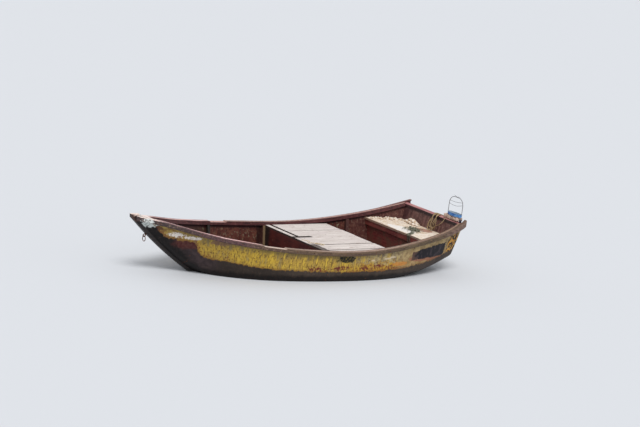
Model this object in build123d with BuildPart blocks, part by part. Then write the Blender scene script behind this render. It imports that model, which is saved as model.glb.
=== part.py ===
from build123d import *
from collections import namedtuple
from math import asin, atan2, cos, hypot, radians, sin, tan
import os

# A wooden rowing boat with smooth sides, planked over a keel, a raked stem and a few heavy frames.
# Millimetres. +X points to the bow, +Y to port and +Z up.
# The origin is on the waterline, on the centreline, half way along the boat.

os.makedirs("parts", exist_ok=True)

# Keel and stem, seen from the side: a rockered keel, a round forefoot and a raked stem that bends
# up slowly and ends straight
KEEL_DRAFT = 150
KEEL_HALF = 28
FOOT_HALF = 20
KEEL_DEPTH = 30
KEEL_HEIGHT = 62
ROCKER_START_X = -200
ROCKER_RADIUS = 6800
FOREFOOT_RADIUS = 987
FOREFOOT_SLOPE = radians(32)
STEM_BEND_RADIUS = 4613
STEM_RAKE = radians(42.6)
STEM_NOSE_X = 2104
STEM_NOSE_Z = 632
STEM_HEIGHT = 92
STEM_TOP_Z = 668
STEM_HEAD_LEAN = 4
KEEL_SCARF_X = 900
KEEL_OVERRUN = 100

# Planks, rails and the transom
PLANK = 18
CAP = 14
WALE_WIDTH = 26
RAIL_HEIGHT = 50
INWALE_WIDTH = 30
INWALE_HEIGHT = 42
HORN_X = -2176
INWALE_FORE_X = 1846
TRANSOM_TOP_X = -2128
TRANSOM_TOP_Z = 580
TRANSOM_RAKE = radians(10)
TRANSOM = 28
TRANSOM_RAIL_WIDTH = 54
TRANSOM_RAIL_HEIGHT = 36

# The table of offsets, from the stern to the bow: the place along the boat, the outer face and the
# top edge of the side planks, the corner where the lines of bottom and side would meet, and the
# radius between them.
Station = namedtuple("Station", "x half_beam sheer chine_y chine_z bilge_r")
STATIONS = (
    Station(-2230, 512, 662, 442, 224, 90),
    Station(-1770, 657, 506, 562, 90, 130),
    Station(-1310, 715, 418, 668, 1, 150),
    Station(-850, 747, 364, 713, -42, 150),
    Station(-390, 748, 347, 699, -62, 157),
    Station(70, 717, 364, 640, -66, 163),
    Station(520, 645, 395, 538, -68, 172),
    Station(940, 517, 440, 345, -34, 150),
    Station(1310, 363, 496, 150, 92, 105),
    Station(1620, 195, 561, 88, 296, 70),
    Station(1870, 94, 609, 52, 500, 30),
    Station(2060, 31, 641, 29, 635, 4),
)
TIP_SHARE = 0.06
SMALLEST_BILGE_R = 3

# Frames and inside work
FRAME_X = (1400, 752, -128, -1330)
FRAME_WIDTH = 38
FRAME_DEPTH = 36
FLOOR_HALF_LENGTH = 0.62
HOLD_FORE_X = -148
HOLD_AFT_X = -1048
BULKHEAD = 22
BOARD = 22
HOLD_TOP_Z = 332
HOLD_STRIP_WIDTH = 57
HOLD_BEAM_WIDTH = 70
HOLD_BEAM_HEIGHT = 45
SEAT_TOP_Z = 411
SEAT_FORE_X = -1580
SEAT_BEAM_HEIGHT = 60
FIT = 0.5

# Where the forefoot's arc ends in the stem's bend, and the bend in the straight upper part
KNUCKLE_Z = -KEEL_DRAFT + FOREFOOT_RADIUS * (1 - cos(FOREFOOT_SLOPE))
STRAIGHT_Z = KNUCKLE_Z + STEM_BEND_RADIUS * (cos(FOREFOOT_SLOPE) - cos(STEM_RAKE))
STRAIGHT_X = STEM_NOSE_X - (STEM_NOSE_Z - STRAIGHT_Z) / tan(STEM_RAKE)
KNUCKLE_X = STRAIGHT_X - STEM_BEND_RADIUS * (sin(STEM_RAKE) - sin(FOREFOOT_SLOPE))
FLAT_X = KNUCKLE_X - FOREFOOT_RADIUS * sin(FOREFOOT_SLOPE)


def keel_line(x):
    """Height and slope of the backbone's lower edge at x."""
    if x >= STRAIGHT_X:
        return STEM_NOSE_Z + (x - STEM_NOSE_X) * tan(STEM_RAKE), STEM_RAKE
    if x >= KNUCKLE_X:
        slope = asin(sin(FOREFOOT_SLOPE) + (x - KNUCKLE_X) / STEM_BEND_RADIUS)
        return KNUCKLE_Z + STEM_BEND_RADIUS * (cos(FOREFOOT_SLOPE) - cos(slope)), slope
    if x >= FLAT_X:
        slope = asin((x - FLAT_X) / FOREFOOT_RADIUS)
        return -KEEL_DRAFT + FOREFOOT_RADIUS * (1 - cos(slope)), slope
    if x >= ROCKER_START_X:
        return -KEEL_DRAFT, 0.0
    slope = -asin((ROCKER_START_X - x) / ROCKER_RADIUS)
    return -KEEL_DRAFT + ROCKER_RADIUS * (1 - cos(slope)), slope


def backbone(x, height):
    """A point in the side view, at this height over the backbone's lower edge, square to it."""
    z, slope = keel_line(x)
    return (x - height * sin(slope), z + height * cos(slope))


def plank_foot(x):
    """Height of the underside of the planks where they meet the keel."""
    z, slope = keel_line(x)
    return z + KEEL_DEPTH / cos(slope)


def half_section(station, inset):
    """Foot, chine and sheer points of the hull's section, moved into the wood by inset."""
    foot = (FOOT_HALF, plank_foot(station.x))
    chine = (station.chine_y, station.chine_z)
    top = (station.half_beam, station.sheer)
    bottom_run = hypot(chine[0] - foot[0], chine[1] - foot[1])
    side_run = hypot(top[0] - chine[0], top[1] - chine[1])
    along = ((chine[0] - foot[0]) / bottom_run, (chine[1] - foot[1]) / bottom_run)
    up = ((top[0] - chine[0]) / side_run, (top[1] - chine[1]) / side_run)
    # Each line is moved square to itself; the side's new top stays at the sheer's height
    low_z = foot[1] + inset / along[0] - foot[0] * along[1] / along[0]
    side_y = top[0] - inset / up[1]
    turn = up[1] * along[0] - up[0] * along[1]
    reach = ((top[1] - low_z) * up[0] - side_y * up[1]) / -turn
    corner = (reach * along[0], low_z + reach * along[1])
    radius = max(station.bilge_r - inset, SMALLEST_BILGE_R)
    cut = radius * tan((atan2(up[1], up[0]) - atan2(along[1], along[0])) / 2)
    start = (corner[0] - cut * along[0], corner[1] - cut * along[1])
    end = (corner[0] + cut * up[0], corner[1] + cut * up[1])
    return low_z, start, along, end, (side_y, top[1])


def tip_section(section, height):
    """The last section before the bow, shrunk to a tip where the inside closes on the stem."""
    low_z, start, along, end, top = section

    def shrink(point):
        return (point[0] * TIP_SHARE, height + (point[1] - top[1]) * TIP_SHARE)

    return shrink((0, low_z))[1], shrink(start), along, shrink(end), shrink(top)


def hull_body(inset):
    """The solid inside a skin that lies this far into the planks, lofted through the stations."""
    sections = [half_section(station, inset) for station in STATIONS[:-1]]
    sections.append(tip_section(sections[-1], STATIONS[-1].sheer))
    with BuildPart() as body:
        for station, (low_z, start, along, end, top) in zip(STATIONS, sections):
            flat = min(FOOT_HALF, start[0] / 2)
            low = (flat, low_z + flat * along[1] / along[0])
            with BuildSketch(Plane.YZ.offset(station.x)):
                with BuildLine():
                    Line(low, start)
                    TangentArc(start, end, tangent=along)
                    Line(end, top)
                    Line(top, (-top[0], top[1]))
                    Line((-top[0], top[1]), (-end[0], end[1]))
                    TangentArc((-start[0], start[1]), (-end[0], end[1]), tangent=(-along[0], along[1]))
                    Line((-start[0], start[1]), (-low[0], low[1]))
                    Line((-low[0], low[1]), low)
                make_face()
        loft()
    return body.part


def save(builder, name):
    """Label a finished piece and write it as its own file."""
    builder.part.label = name
    export_step(builder.part, f"parts/{name}.step")
    print(name, len(builder.part.solids()), round(builder.part.volume / 1e6, 2))


def fair(x, column):
    """A column of the table of offsets at any x, on a smooth curve through the stations."""
    low = max(i for i in range(len(STATIONS) - 1) if i == 0 or STATIONS[i].x <= x)
    values = [getattr(station, column) for station in STATIONS]
    places = [station.x for station in STATIONS]

    def slope(i):
        before, after = max(i - 1, 0), min(i + 1, len(places) - 1)
        return (values[after] - values[before]) / (places[after] - places[before])

    span = places[low + 1] - places[low]
    t = (x - places[low]) / span
    near = values[low] * (1 + 2 * t) + slope(low) * span * t
    far = values[low + 1] * (3 - 2 * t) - slope(low + 1) * span * (1 - t)
    return near * (1 - t) ** 2 + far * t ** 2


def slab(x_low, x_high, y_low, y_high, z_low, z_high):
    """A plain block of wood between these faces, to be cut to shape."""
    size = (x_high - x_low, y_high - y_low, z_high - z_low)
    centre = ((x_low + x_high) / 2, (y_low + y_high) / 2, (z_low + z_high) / 2)
    return Pos(*centre) * Box(*size, mode=Mode.PRIVATE)


# Bodies that the inside work is cut from: the planks' inside and the inside of the frames
inner_body = hull_body(PLANK)
frame_body = hull_body(PLANK + FRAME_DEPTH)
FAR = 1000
LONG = 2500

# Stem, from the scarf in the forefoot up to the nose, with its face on the boat's profile
bend_mid_x = (STRAIGHT_X + KNUCKLE_X) / 2
stem_mid_x = (KNUCKLE_X + KEEL_SCARF_X) / 2
head_back_z = STEM_NOSE_Z + STEM_HEIGHT / cos(STEM_RAKE)
head_back_x = STEM_NOSE_X - (head_back_z - STEM_TOP_Z) / tan(STEM_RAKE)
with BuildPart() as stem:
    with BuildSketch(Plane.XZ) as stem_side:
        with BuildLine():
            Line((STEM_NOSE_X, STEM_NOSE_Z), backbone(STRAIGHT_X, 0))
            for height in (0, STEM_HEIGHT):
                ThreePointArc(*(backbone(x, height) for x in (STRAIGHT_X, bend_mid_x, KNUCKLE_X)))
                ThreePointArc(*(backbone(x, height) for x in (KNUCKLE_X, stem_mid_x, KEEL_SCARF_X)))
            Line(backbone(KEEL_SCARF_X, 0), backbone(KEEL_SCARF_X, STEM_HEIGHT))
            Line(backbone(STRAIGHT_X, STEM_HEIGHT), (head_back_x, STEM_TOP_Z))
            Line((head_back_x, STEM_TOP_Z), (STEM_NOSE_X + STEM_HEAD_LEAN, STEM_TOP_Z))
            Line((STEM_NOSE_X + STEM_HEAD_LEAN, STEM_TOP_Z), (STEM_NOSE_X, STEM_NOSE_Z))
        make_face()
    extrude(amount=KEEL_HALF, both=True)

# Plane of the transom's aft face, and all that lies behind it
aft_face = Plane(
    origin=(TRANSOM_TOP_X, 0, TRANSOM_TOP_Z),
    x_dir=(0, 1, 0),
    z_dir=(cos(TRANSOM_RAKE), 0, sin(TRANSOM_RAKE)),
)
with BuildPart() as behind_transom:
    with BuildSketch(aft_face):
        Rectangle(2 * FAR, 2 * FAR)
    extrude(amount=-FAR)
with BuildPart() as behind_fore_face:
    with BuildSketch(aft_face.offset(TRANSOM)):
        Rectangle(2 * FAR, 2 * FAR)
    extrude(amount=-FAR)

# Keel, from the scarf along the flat and up the rocker to the transom
keel_fore_mid_x = (FLAT_X + KEEL_SCARF_X) / 2
keel_aft_x = TRANSOM_TOP_X - KEEL_OVERRUN
keel_aft_mid_x = (ROCKER_START_X + keel_aft_x) / 2


def keel_edge(height):
    """The keel's edge at this height over its underside, from the scarf to the stern."""
    ThreePointArc(*(backbone(x, height) for x in (KEEL_SCARF_X, keel_fore_mid_x, FLAT_X)))
    Line(backbone(FLAT_X, height), backbone(ROCKER_START_X, height))
    ThreePointArc(*(backbone(x, height) for x in (ROCKER_START_X, keel_aft_mid_x, keel_aft_x)))


with BuildPart() as keel:
    with BuildSketch(Plane.XZ):
        with BuildLine():
            keel_edge(0)
            keel_edge(KEEL_HEIGHT)
            Line(backbone(KEEL_SCARF_X, 0), backbone(KEEL_SCARF_X, KEEL_HEIGHT))
            Line(backbone(keel_aft_x, 0), backbone(keel_aft_x, KEEL_HEIGHT))
        make_face()
    extrude(amount=KEEL_HALF, both=True)
    add(behind_transom.part, mode=Mode.SUBTRACT)

# Planks. The flat of the bottom makes two, the bilge one and the flat side two.
# Their edges are square to the skin, and they thin out where they run up the stem.
BOTTOM_SHARE = 0.5
SIDE_SHARE = 0.45
PLANK_TIP = 1


def between(low, high, share):
    """The point at this share of the way from low to high."""
    return tuple(a + (b - a) * share for a, b in zip(low, high))


def plank_points(station, inset, side):
    """The planks' corners on one face of the skin, from the keel's side up to the sheer."""
    low_z, start, along, end, top = half_section(station, inset)
    foot = (KEEL_HALF, low_z + KEEL_HALF * along[1] / along[0])
    points = (foot, between(foot, start, BOTTOM_SHARE), start, end, between(end, top, SIDE_SHARE), top)
    corners = [(side * max(y, KEEL_HALF + inset / PLANK * FIT), z) for y, z in points]
    return corners, (side * along[0], along[1])


def plank_loft(low, side):
    """The plank between two neighbouring edges, from the transom to the stem."""
    with BuildPart() as plank:
        for station in STATIONS:
            thick = PLANK_TIP if station is STATIONS[-1] else PLANK
            outer, outer_along = plank_points(station, 0, side)
            inner, inner_along = plank_points(station, thick, side)
            with BuildSketch(Plane.YZ.offset(station.x)):
                with BuildLine():
                    if low == BILGE:
                        TangentArc(outer[low], outer[low + 1], tangent=outer_along)
                        TangentArc(inner[low], inner[low + 1], tangent=inner_along)
                    else:
                        Line(outer[low], outer[low + 1])
                        Line(inner[low], inner[low + 1])
                    Line(outer[low], inner[low])
                    Line(outer[low + 1], inner[low + 1])
                make_face()
        loft()
        add(behind_transom.part, mode=Mode.SUBTRACT)
    return plank


SIDES = {"port": 1, "starboard": -1}
PLANK_NAMES = ("garboard", "bottom_plank", "bilge_plank", "topside_plank", "sheer_plank")
BILGE = PLANK_NAMES.index("bilge_plank")
for low, plank_name in enumerate(PLANK_NAMES):
    for side_name, side in SIDES.items():
        save(plank_loft(low, side), f"{plank_name}_{side_name}")
save(keel, "keel")

# Rails: a wale outside the planks whose cap covers their top edge, running past the transom as a horn
NOSE_BEVEL = ((1960, 104), (2120, 18))
RAIL_ROUND = 12
HORN_DEPTH = 42
HORN_START_X = -1500
INWALE_DROP = INWALE_HEIGHT - CAP
OAR_NOTCH = (455, 715)
OAR_NOTCH_DEPTH = 12
THOLE_X = 650
THOLE_R = 7


def rail_fit(station):
    """The plank's edge as the rail sees it: its slope, and the cap's inner face."""
    lean = (station.half_beam - station.chine_y) / (station.sheer - station.chine_z)
    return lean, max(station.half_beam - PLANK * hypot(1, lean), KEEL_HALF + FIT)


def station_at(x):
    """A line of the table of offsets for a place between two stations."""
    return Station(x, *(fair(x, column) for column in Station._fields[1:]))


def rail_depth(x):
    """Depth of the rail's outer face, which grows towards the horns."""
    return RAIL_HEIGHT + HORN_DEPTH * max(0, (HORN_START_X - x) / (HORN_START_X - STATIONS[0].x)) ** 2


def rail_top(x):
    """Height of the rail's flat top at x."""
    return fair(x, "sheer") + CAP


with BuildPart() as nose_bevel:
    for side in SIDES.values():
        with BuildSketch(Plane.XY):
            with BuildLine():
                Polyline(
                    (NOSE_BEVEL[0][0], side * NOSE_BEVEL[0][1]),
                    (NOSE_BEVEL[1][0], side * NOSE_BEVEL[1][1]),
                    (LONG, side * NOSE_BEVEL[1][1]),
                    (LONG, side * FAR),
                    (NOSE_BEVEL[0][0], side * FAR),
                    close=True,
                )
            make_face()
        extrude(amount=FAR, both=True)

# The notch that the oar has worn, across rail and inwale on both sides
with BuildPart() as oar_notch:
    with BuildSketch(Plane.XZ):
        with BuildLine():
            Polyline(
                (OAR_NOTCH[0] - OAR_NOTCH_DEPTH, rail_top(OAR_NOTCH[0]) + FIT),
                (OAR_NOTCH[0], rail_top(OAR_NOTCH[0]) - OAR_NOTCH_DEPTH),
                (OAR_NOTCH[1], rail_top(OAR_NOTCH[1]) - OAR_NOTCH_DEPTH),
                (OAR_NOTCH[1] + OAR_NOTCH_DEPTH, rail_top(OAR_NOTCH[1]) + FIT),
                (OAR_NOTCH[1] + OAR_NOTCH_DEPTH, FAR),
                (OAR_NOTCH[0] - OAR_NOTCH_DEPTH, FAR),
                close=True,
            )
        make_face()
    extrude(amount=FAR, both=True)

rails = {}
for side_name, side in SIDES.items():
    with BuildPart() as rail:
        for station in STATIONS:
            lean, cap_y = rail_fit(station)
            wale_y = station.half_beam + WALE_WIDTH
            low_z = station.sheer + CAP - rail_depth(station.x)
            low_y = max(station.half_beam + FIT - (station.sheer - low_z) * lean, KEEL_HALF + FIT)
            with BuildSketch(Plane.YZ.offset(station.x)) as rail_end:
                with BuildLine():
                    Polyline(
                        (side * low_y, low_z),
                        (side * wale_y, low_z),
                        (side * wale_y, station.sheer + CAP),
                        (side * cap_y, station.sheer + CAP),
                        (side * cap_y, station.sheer),
                        (side * (station.half_beam + FIT), station.sheer),
                        close=True,
                    )
                make_face()
                outer_corners = rail_end.vertices().sort_by(lambda corner: side * corner.X)[-2:]
                fillet(outer_corners, RAIL_ROUND)
        loft()
        add(nose_bevel.part, mode=Mode.SUBTRACT)
        add(slab(-LONG, HORN_X, -FAR, FAR, -FAR, FAR), mode=Mode.SUBTRACT)
        add(oar_notch.part, mode=Mode.SUBTRACT)
    rails[side_name] = rail.part
    save(rail, f"rail_{side_name}")

with BuildPart() as stem_cut:
    add(stem.part)
    add(nose_bevel.part, mode=Mode.SUBTRACT)
save(stem_cut, "stem")

# Transom board, raked, inside the planks, with its top cut level
with BuildPart() as transom:
    with BuildSketch(aft_face):
        Rectangle(2 * FAR, 2 * FAR)
    extrude(amount=TRANSOM)
    add(inner_body, mode=Mode.INTERSECT)
    add(slab(-LONG, LONG, -FAR, FAR, -FAR, TRANSOM_TOP_Z), mode=Mode.INTERSECT)
    add(keel.part, mode=Mode.SUBTRACT)
save(transom, "transom")

# Transom rail: a cap along the transom's top from side to side, lower than the horns
rail_aft_x = TRANSOM_TOP_X - (TRANSOM_RAIL_WIDTH - TRANSOM) / 2
rail_fore_x = rail_aft_x + TRANSOM_RAIL_WIDTH
transom_rail_top = TRANSOM_TOP_Z + TRANSOM_RAIL_HEIGHT
with BuildPart() as transom_rail:
    add(slab(rail_aft_x, rail_fore_x, -FAR, FAR, TRANSOM_TOP_Z, transom_rail_top))
    fillet(transom_rail.edges().filter_by(Axis.Y).group_by(Axis.Z)[-1], RAIL_ROUND)
    add(inner_body, mode=Mode.INTERSECT)
save(transom_rail, "transom_rail")

# Inwales: a strip inside the planks' top edge, from the transom rail to the breasthook, with a hole
# for the thole pin in the oar's notch
thole_y = rail_fit(station_at(THOLE_X))[1] - INWALE_WIDTH / 2
for side_name, side in SIDES.items():
    with BuildPart() as inwale:
        for station in STATIONS[:-1]:
            lean, cap_y = rail_fit(station)
            with BuildSketch(Plane.YZ.offset(station.x)):
                with BuildLine():
                    Polyline(
                        (side * (cap_y - FIT - INWALE_DROP * lean), station.sheer - INWALE_DROP),
                        (side * (cap_y - FIT), station.sheer),
                        (side * (cap_y - FIT), station.sheer + CAP),
                        (side * (cap_y - INWALE_WIDTH), station.sheer + CAP),
                        (side * (cap_y - INWALE_WIDTH - INWALE_DROP * lean), station.sheer - INWALE_DROP),
                        close=True,
                    )
                make_face()
        loft()
        add(slab(-LONG, rail_fore_x + FIT, -FAR, FAR, -FAR, FAR), mode=Mode.SUBTRACT)
        add(slab(INWALE_FORE_X - FIT, LONG, -FAR, FAR, -FAR, FAR), mode=Mode.SUBTRACT)
        add(oar_notch.part, mode=Mode.SUBTRACT)
        with Locations((THOLE_X, side * thole_y, rail_top(THOLE_X) - RAIL_HEIGHT / 2)):
            Cylinder(THOLE_R, 2 * RAIL_HEIGHT, mode=Mode.SUBTRACT)
    save(inwale, f"inwale_{side_name}")

# Breasthook: the block between the rails that ties them to the stem
BREASTHOOK_STATIONS = (1846, 1870, 1930, 1985)
with BuildPart() as breasthook:
    for x in BREASTHOOK_STATIONS:
        station = station_at(x)
        lean, cap_y = rail_fit(station)
        low_y = cap_y - 2 * FIT - INWALE_DROP * lean
        with BuildSketch(Plane.YZ.offset(x)):
            with BuildLine():
                Polyline(
                    (low_y, station.sheer - INWALE_DROP),
                    (cap_y - 2 * FIT, station.sheer),
                    (cap_y - 2 * FIT, station.sheer + CAP),
                    (2 * FIT - cap_y, station.sheer + CAP),
                    (2 * FIT - cap_y, station.sheer),
                    (-low_y, station.sheer - INWALE_DROP),
                    close=True,
                )
            make_face()
    loft(ruled=True)
    add(stem.part, mode=Mode.SUBTRACT)
save(breasthook, "breasthook")


def hull_blocks(name, blocks, keep_hollow=False):
    """Blocks of wood cut to the hull's inside; frames keep only the depth next to the planks."""
    with BuildPart() as piece:
        for block in blocks:
            add(block)
        add(inner_body, mode=Mode.INTERSECT)
        if keep_hollow:
            add(frame_body, mode=Mode.SUBTRACT)
        add(keel.part, mode=Mode.SUBTRACT)
        add(stem.part, mode=Mode.SUBTRACT)
        add(behind_fore_face.part, mode=Mode.SUBTRACT)
    save(piece, name)
    return piece


# Frames: a floor timber across the keel and a side frame on each side, bolted together side by side
FRAME_FOOT = 0.45
side_blocks = {side_name: [] for side_name in SIDES}
floor_blocks = []
for x in FRAME_X:
    half_beam = fair(x, "half_beam")
    frame_top = min(fair(x + end * FRAME_WIDTH / 2, "sheer") for end in (-1, 1)) - INWALE_DROP - 3 * FIT
    for side_name, side in SIDES.items():
        reach = sorted((side * FRAME_FOOT * half_beam, side * FAR))
        side_blocks[side_name].append(
            slab(x - FRAME_WIDTH / 2, x + FRAME_WIDTH / 2, *reach, -FAR, frame_top)
        )
    floor_y = FLOOR_HALF_LENGTH * half_beam
    floor_blocks.append(
        slab(x + FRAME_WIDTH / 2, x + 3 * FRAME_WIDTH / 2, -floor_y, floor_y, -FAR, FAR)
    )
for side_name, blocks in side_blocks.items():
    hull_blocks(f"side_frames_{side_name}", blocks, keep_hollow=True)
hull_blocks("floor_timbers", floor_blocks, keep_hollow=True)

# Hold amidships: two bulkheads, a beam under the boards' fore ends, and the boards that cover it
hull_blocks("hold_fore_bulkhead", [
    slab(HOLD_FORE_X - BULKHEAD, HOLD_FORE_X, -FAR, FAR, -FAR, HOLD_TOP_Z - BOARD),
])
hull_blocks("hold_aft_bulkhead", [
    slab(HOLD_AFT_X, HOLD_AFT_X + BULKHEAD, -FAR, FAR, -FAR, HOLD_TOP_Z - BOARD),
])
hull_blocks("hold_beam", [
    slab(
        HOLD_FORE_X - BULKHEAD - HOLD_BEAM_WIDTH, HOLD_FORE_X - BULKHEAD,
        -FAR, FAR, HOLD_TOP_Z - BOARD - HOLD_BEAM_HEIGHT, HOLD_TOP_Z - BOARD,
    ),
])
HOLD_STRIP_HALF = 690
with BuildPart() as hold_strip:
    add(slab(
        HOLD_FORE_X - HOLD_STRIP_WIDTH, HOLD_FORE_X,
        -HOLD_STRIP_HALF, HOLD_STRIP_HALF, HOLD_TOP_Z - BOARD, HOLD_TOP_Z,
    ))
save(hold_strip, "hold_strip")

HoldBoard = namedtuple("HoldBoard", "y_low y_high fore_x aft_x")
HOLD_BOARDS = (
    HoldBoard(-686, -374, -233, -1036),
    HoldBoard(-368, -95, -233, -1048),
    HoldBoard(-83, 281, -209, -1040),
    HoldBoard(289, 526, -209, -1046),
    HoldBoard(534, 686, -209, -1038),
)
NOTCH_X = -380
NOTCH_Y = (-95, -83)
with BuildPart() as hold_boards:
    for board in HOLD_BOARDS:
        add(slab(board.aft_x, board.fore_x, board.y_low, board.y_high, HOLD_TOP_Z - BOARD, HOLD_TOP_Z))
    add(slab(
        HOLD_BOARDS[2].aft_x, NOTCH_X, NOTCH_Y[0] + 2 * FIT, NOTCH_Y[1], HOLD_TOP_Z - BOARD, HOLD_TOP_Z,
    ))
save(hold_boards, "hold_boards")

# Bottom boards of the fore well, lying on the frames either side of the keel
BottomBoard = namedtuple("BottomBoard", "y_low y_high")
BOTTOM_BOARDS = (BottomBoard(12, 132), BottomBoard(144, 264))
BOTTOM_BOARD = 14
BOTTOM_BOARD_X = (HOLD_FORE_X + 3 * FIT, 850)
FLOOR_LIFT = -70
FLOOR_TILT = 5
with BuildPart() as bottom_boards:
    for board in BOTTOM_BOARDS:
        for side in (1, -1):
            middle = side * (board.y_low + board.y_high) / 2
            lift = FLOOR_LIFT + abs(middle) * tan(radians(FLOOR_TILT))
            with Locations(Location((sum(BOTTOM_BOARD_X) / 2, middle, lift), (side * FLOOR_TILT, 0, 0))):
                Box(
                    BOTTOM_BOARD_X[1] - BOTTOM_BOARD_X[0],
                    board.y_high - board.y_low,
                    2 * BOTTOM_BOARD,
                    align=(Align.CENTER, Align.CENTER, Align.CENTER),
                )
    add(frame_body, mode=Mode.INTERSECT)
save(bottom_boards, "bottom_boards")

# Stern seat: boards laid fore and aft over the stern locker, a beam under their fore ends, the
# locker's bulkhead and a cleat on the transom
SEAT_JOINT_Y = 190
SEAT_GAP = 4
SEAT_CLEAT = 30
hull_blocks("stern_seat", [
    slab(-LONG, SEAT_FORE_X, -FAR, SEAT_JOINT_Y, SEAT_TOP_Z - BOARD, SEAT_TOP_Z),
    slab(-LONG, SEAT_FORE_X - 2 * SEAT_GAP, SEAT_JOINT_Y + SEAT_GAP, FAR, SEAT_TOP_Z - BOARD, SEAT_TOP_Z),
])
SEAT_BEAM_X = (-1618, -1590)
seat_under_z = SEAT_TOP_Z - BOARD
hull_blocks("seat_beam", [
    slab(*SEAT_BEAM_X, -FAR, FAR, seat_under_z - SEAT_BEAM_HEIGHT, seat_under_z),
])
hull_blocks("stern_bulkhead", [
    slab(SEAT_BEAM_X[0] - BULKHEAD, SEAT_BEAM_X[0], -FAR, FAR, -FAR, seat_under_z),
])
cleat_fore_x = TRANSOM_TOP_X + TRANSOM + (TRANSOM_TOP_Z - seat_under_z) * tan(TRANSOM_RAKE) + SEAT_CLEAT
hull_blocks("seat_cleat", [
    slab(-LONG, cleat_fore_x, -FAR, FAR, seat_under_z - SEAT_CLEAT, seat_under_z),
])

# On the transom rail: a pad with an oval basin on it, its wire bail, and a knob
PAD_X = (-2180, -2080)
PAD_Y = (215, 500)
PAD_THICK = 56
BASIN_CENTRE = (-2120, 395)
BASIN_LENGTH = 250
BASIN_WIDTH = 80
BASIN_HEIGHT = 34
BASIN_WALL = 3
BAIL_R = 3
BAIL_RISE = 190
BAIL_BEND = 90
SOCKET_R = 6
SOCKET_HEIGHT = 16
with BuildPart() as pad:
    add(slab(*PAD_X, *PAD_Y, transom_rail_top, transom_rail_top + PAD_THICK))
    fillet(pad.edges().filter_by(Axis.Z), 3 * RAIL_ROUND)
    fillet(pad.edges().group_by(Axis.Z)[-1], RAIL_ROUND)
save(pad, "stern_pad")

basin_z = transom_rail_top + PAD_THICK
bail_reach = BASIN_LENGTH / 2 + BAIL_R
bail_ends = (BASIN_CENTRE[1] - bail_reach, BASIN_CENTRE[1] + bail_reach)
bail_foot_z = basin_z + BASIN_HEIGHT - SOCKET_HEIGHT
with BuildPart() as basin:
    with BuildSketch(Plane(origin=(*BASIN_CENTRE, basin_z))):
        Ellipse(BASIN_WIDTH / 2, BASIN_LENGTH / 2)
    extrude(amount=BASIN_HEIGHT)
    for y in bail_ends:
        with Locations((BASIN_CENTRE[0], y, bail_foot_z + SOCKET_HEIGHT / 2)):
            Cylinder(SOCKET_R, SOCKET_HEIGHT)
    with BuildSketch(Plane(origin=(*BASIN_CENTRE, basin_z + BASIN_WALL))):
        Ellipse(BASIN_WIDTH / 2 - BASIN_WALL, BASIN_LENGTH / 2 - BASIN_WALL)
    extrude(amount=BASIN_HEIGHT, mode=Mode.SUBTRACT)
    for y in bail_ends:
        with Locations((BASIN_CENTRE[0], y, bail_foot_z + SOCKET_HEIGHT / 2)):
            Cylinder(BAIL_R, SOCKET_HEIGHT, mode=Mode.SUBTRACT)
save(basin, "basin")

bail_top_z = basin_z + BASIN_HEIGHT + BAIL_RISE
with BuildPart() as bail:
    with BuildLine(Plane.YZ.offset(BASIN_CENTRE[0])):
        FilletPolyline(
            (bail_ends[0], bail_foot_z),
            (bail_ends[0], bail_top_z),
            (bail_ends[1], bail_top_z),
            (bail_ends[1], bail_foot_z),
            radius=BAIL_BEND,
        )
    with BuildSketch(Plane(origin=(BASIN_CENTRE[0], bail_ends[0], bail_foot_z))):
        Circle(BAIL_R)
    sweep()
save(bail, "bail")

KNOB_CENTRE = (-2114, 522)
KNOB_R = 15
KNOB_HEIGHT = 34
with BuildPart() as knob:
    with Locations((*KNOB_CENTRE, transom_rail_top + KNOB_HEIGHT / 2)):
        Cylinder(KNOB_R, KNOB_HEIGHT)
    fillet(knob.edges().group_by(Axis.Z)[-1], KNOB_R / 2)
save(knob, "stern_knob")

# Hank of rope thrown over the transom rail, its long side hanging inboard down to the seat
HankRow = namedtuple("HankRow", "z x y width")
HANK_ROWS = (
    HankRow(SEAT_TOP_Z + FIT, -2044, 88, 190),
    HankRow(500, -2057, 90, 170),
    HankRow(transom_rail_top, -2069, 100, 100),
    HankRow(transom_rail_top + 34, -2069, 100, 95),
)
HANK_THICK = 34
HANK_OUTER_LEG = 50
hank_over = HANK_ROWS[-1]
hank_outer_x = rail_aft_x - FIT - HANK_THICK
hank_sides = (hank_over.y - hank_over.width / 2, hank_over.y + hank_over.width / 2)
with BuildPart() as hank:
    for row in HANK_ROWS:
        with BuildSketch(Plane.XY.offset(row.z)):
            with Locations((row.x, row.y)):
                Rectangle(HANK_THICK, row.width)
    loft(ruled=True)
    add(slab(hank_outer_x, hank_over.x, *hank_sides, transom_rail_top, hank_over.z))
    add(slab(
        hank_outer_x, rail_aft_x - FIT, *hank_sides, transom_rail_top - HANK_OUTER_LEG, hank_over.z,
    ))
save(hank, "rope_hank")

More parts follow.
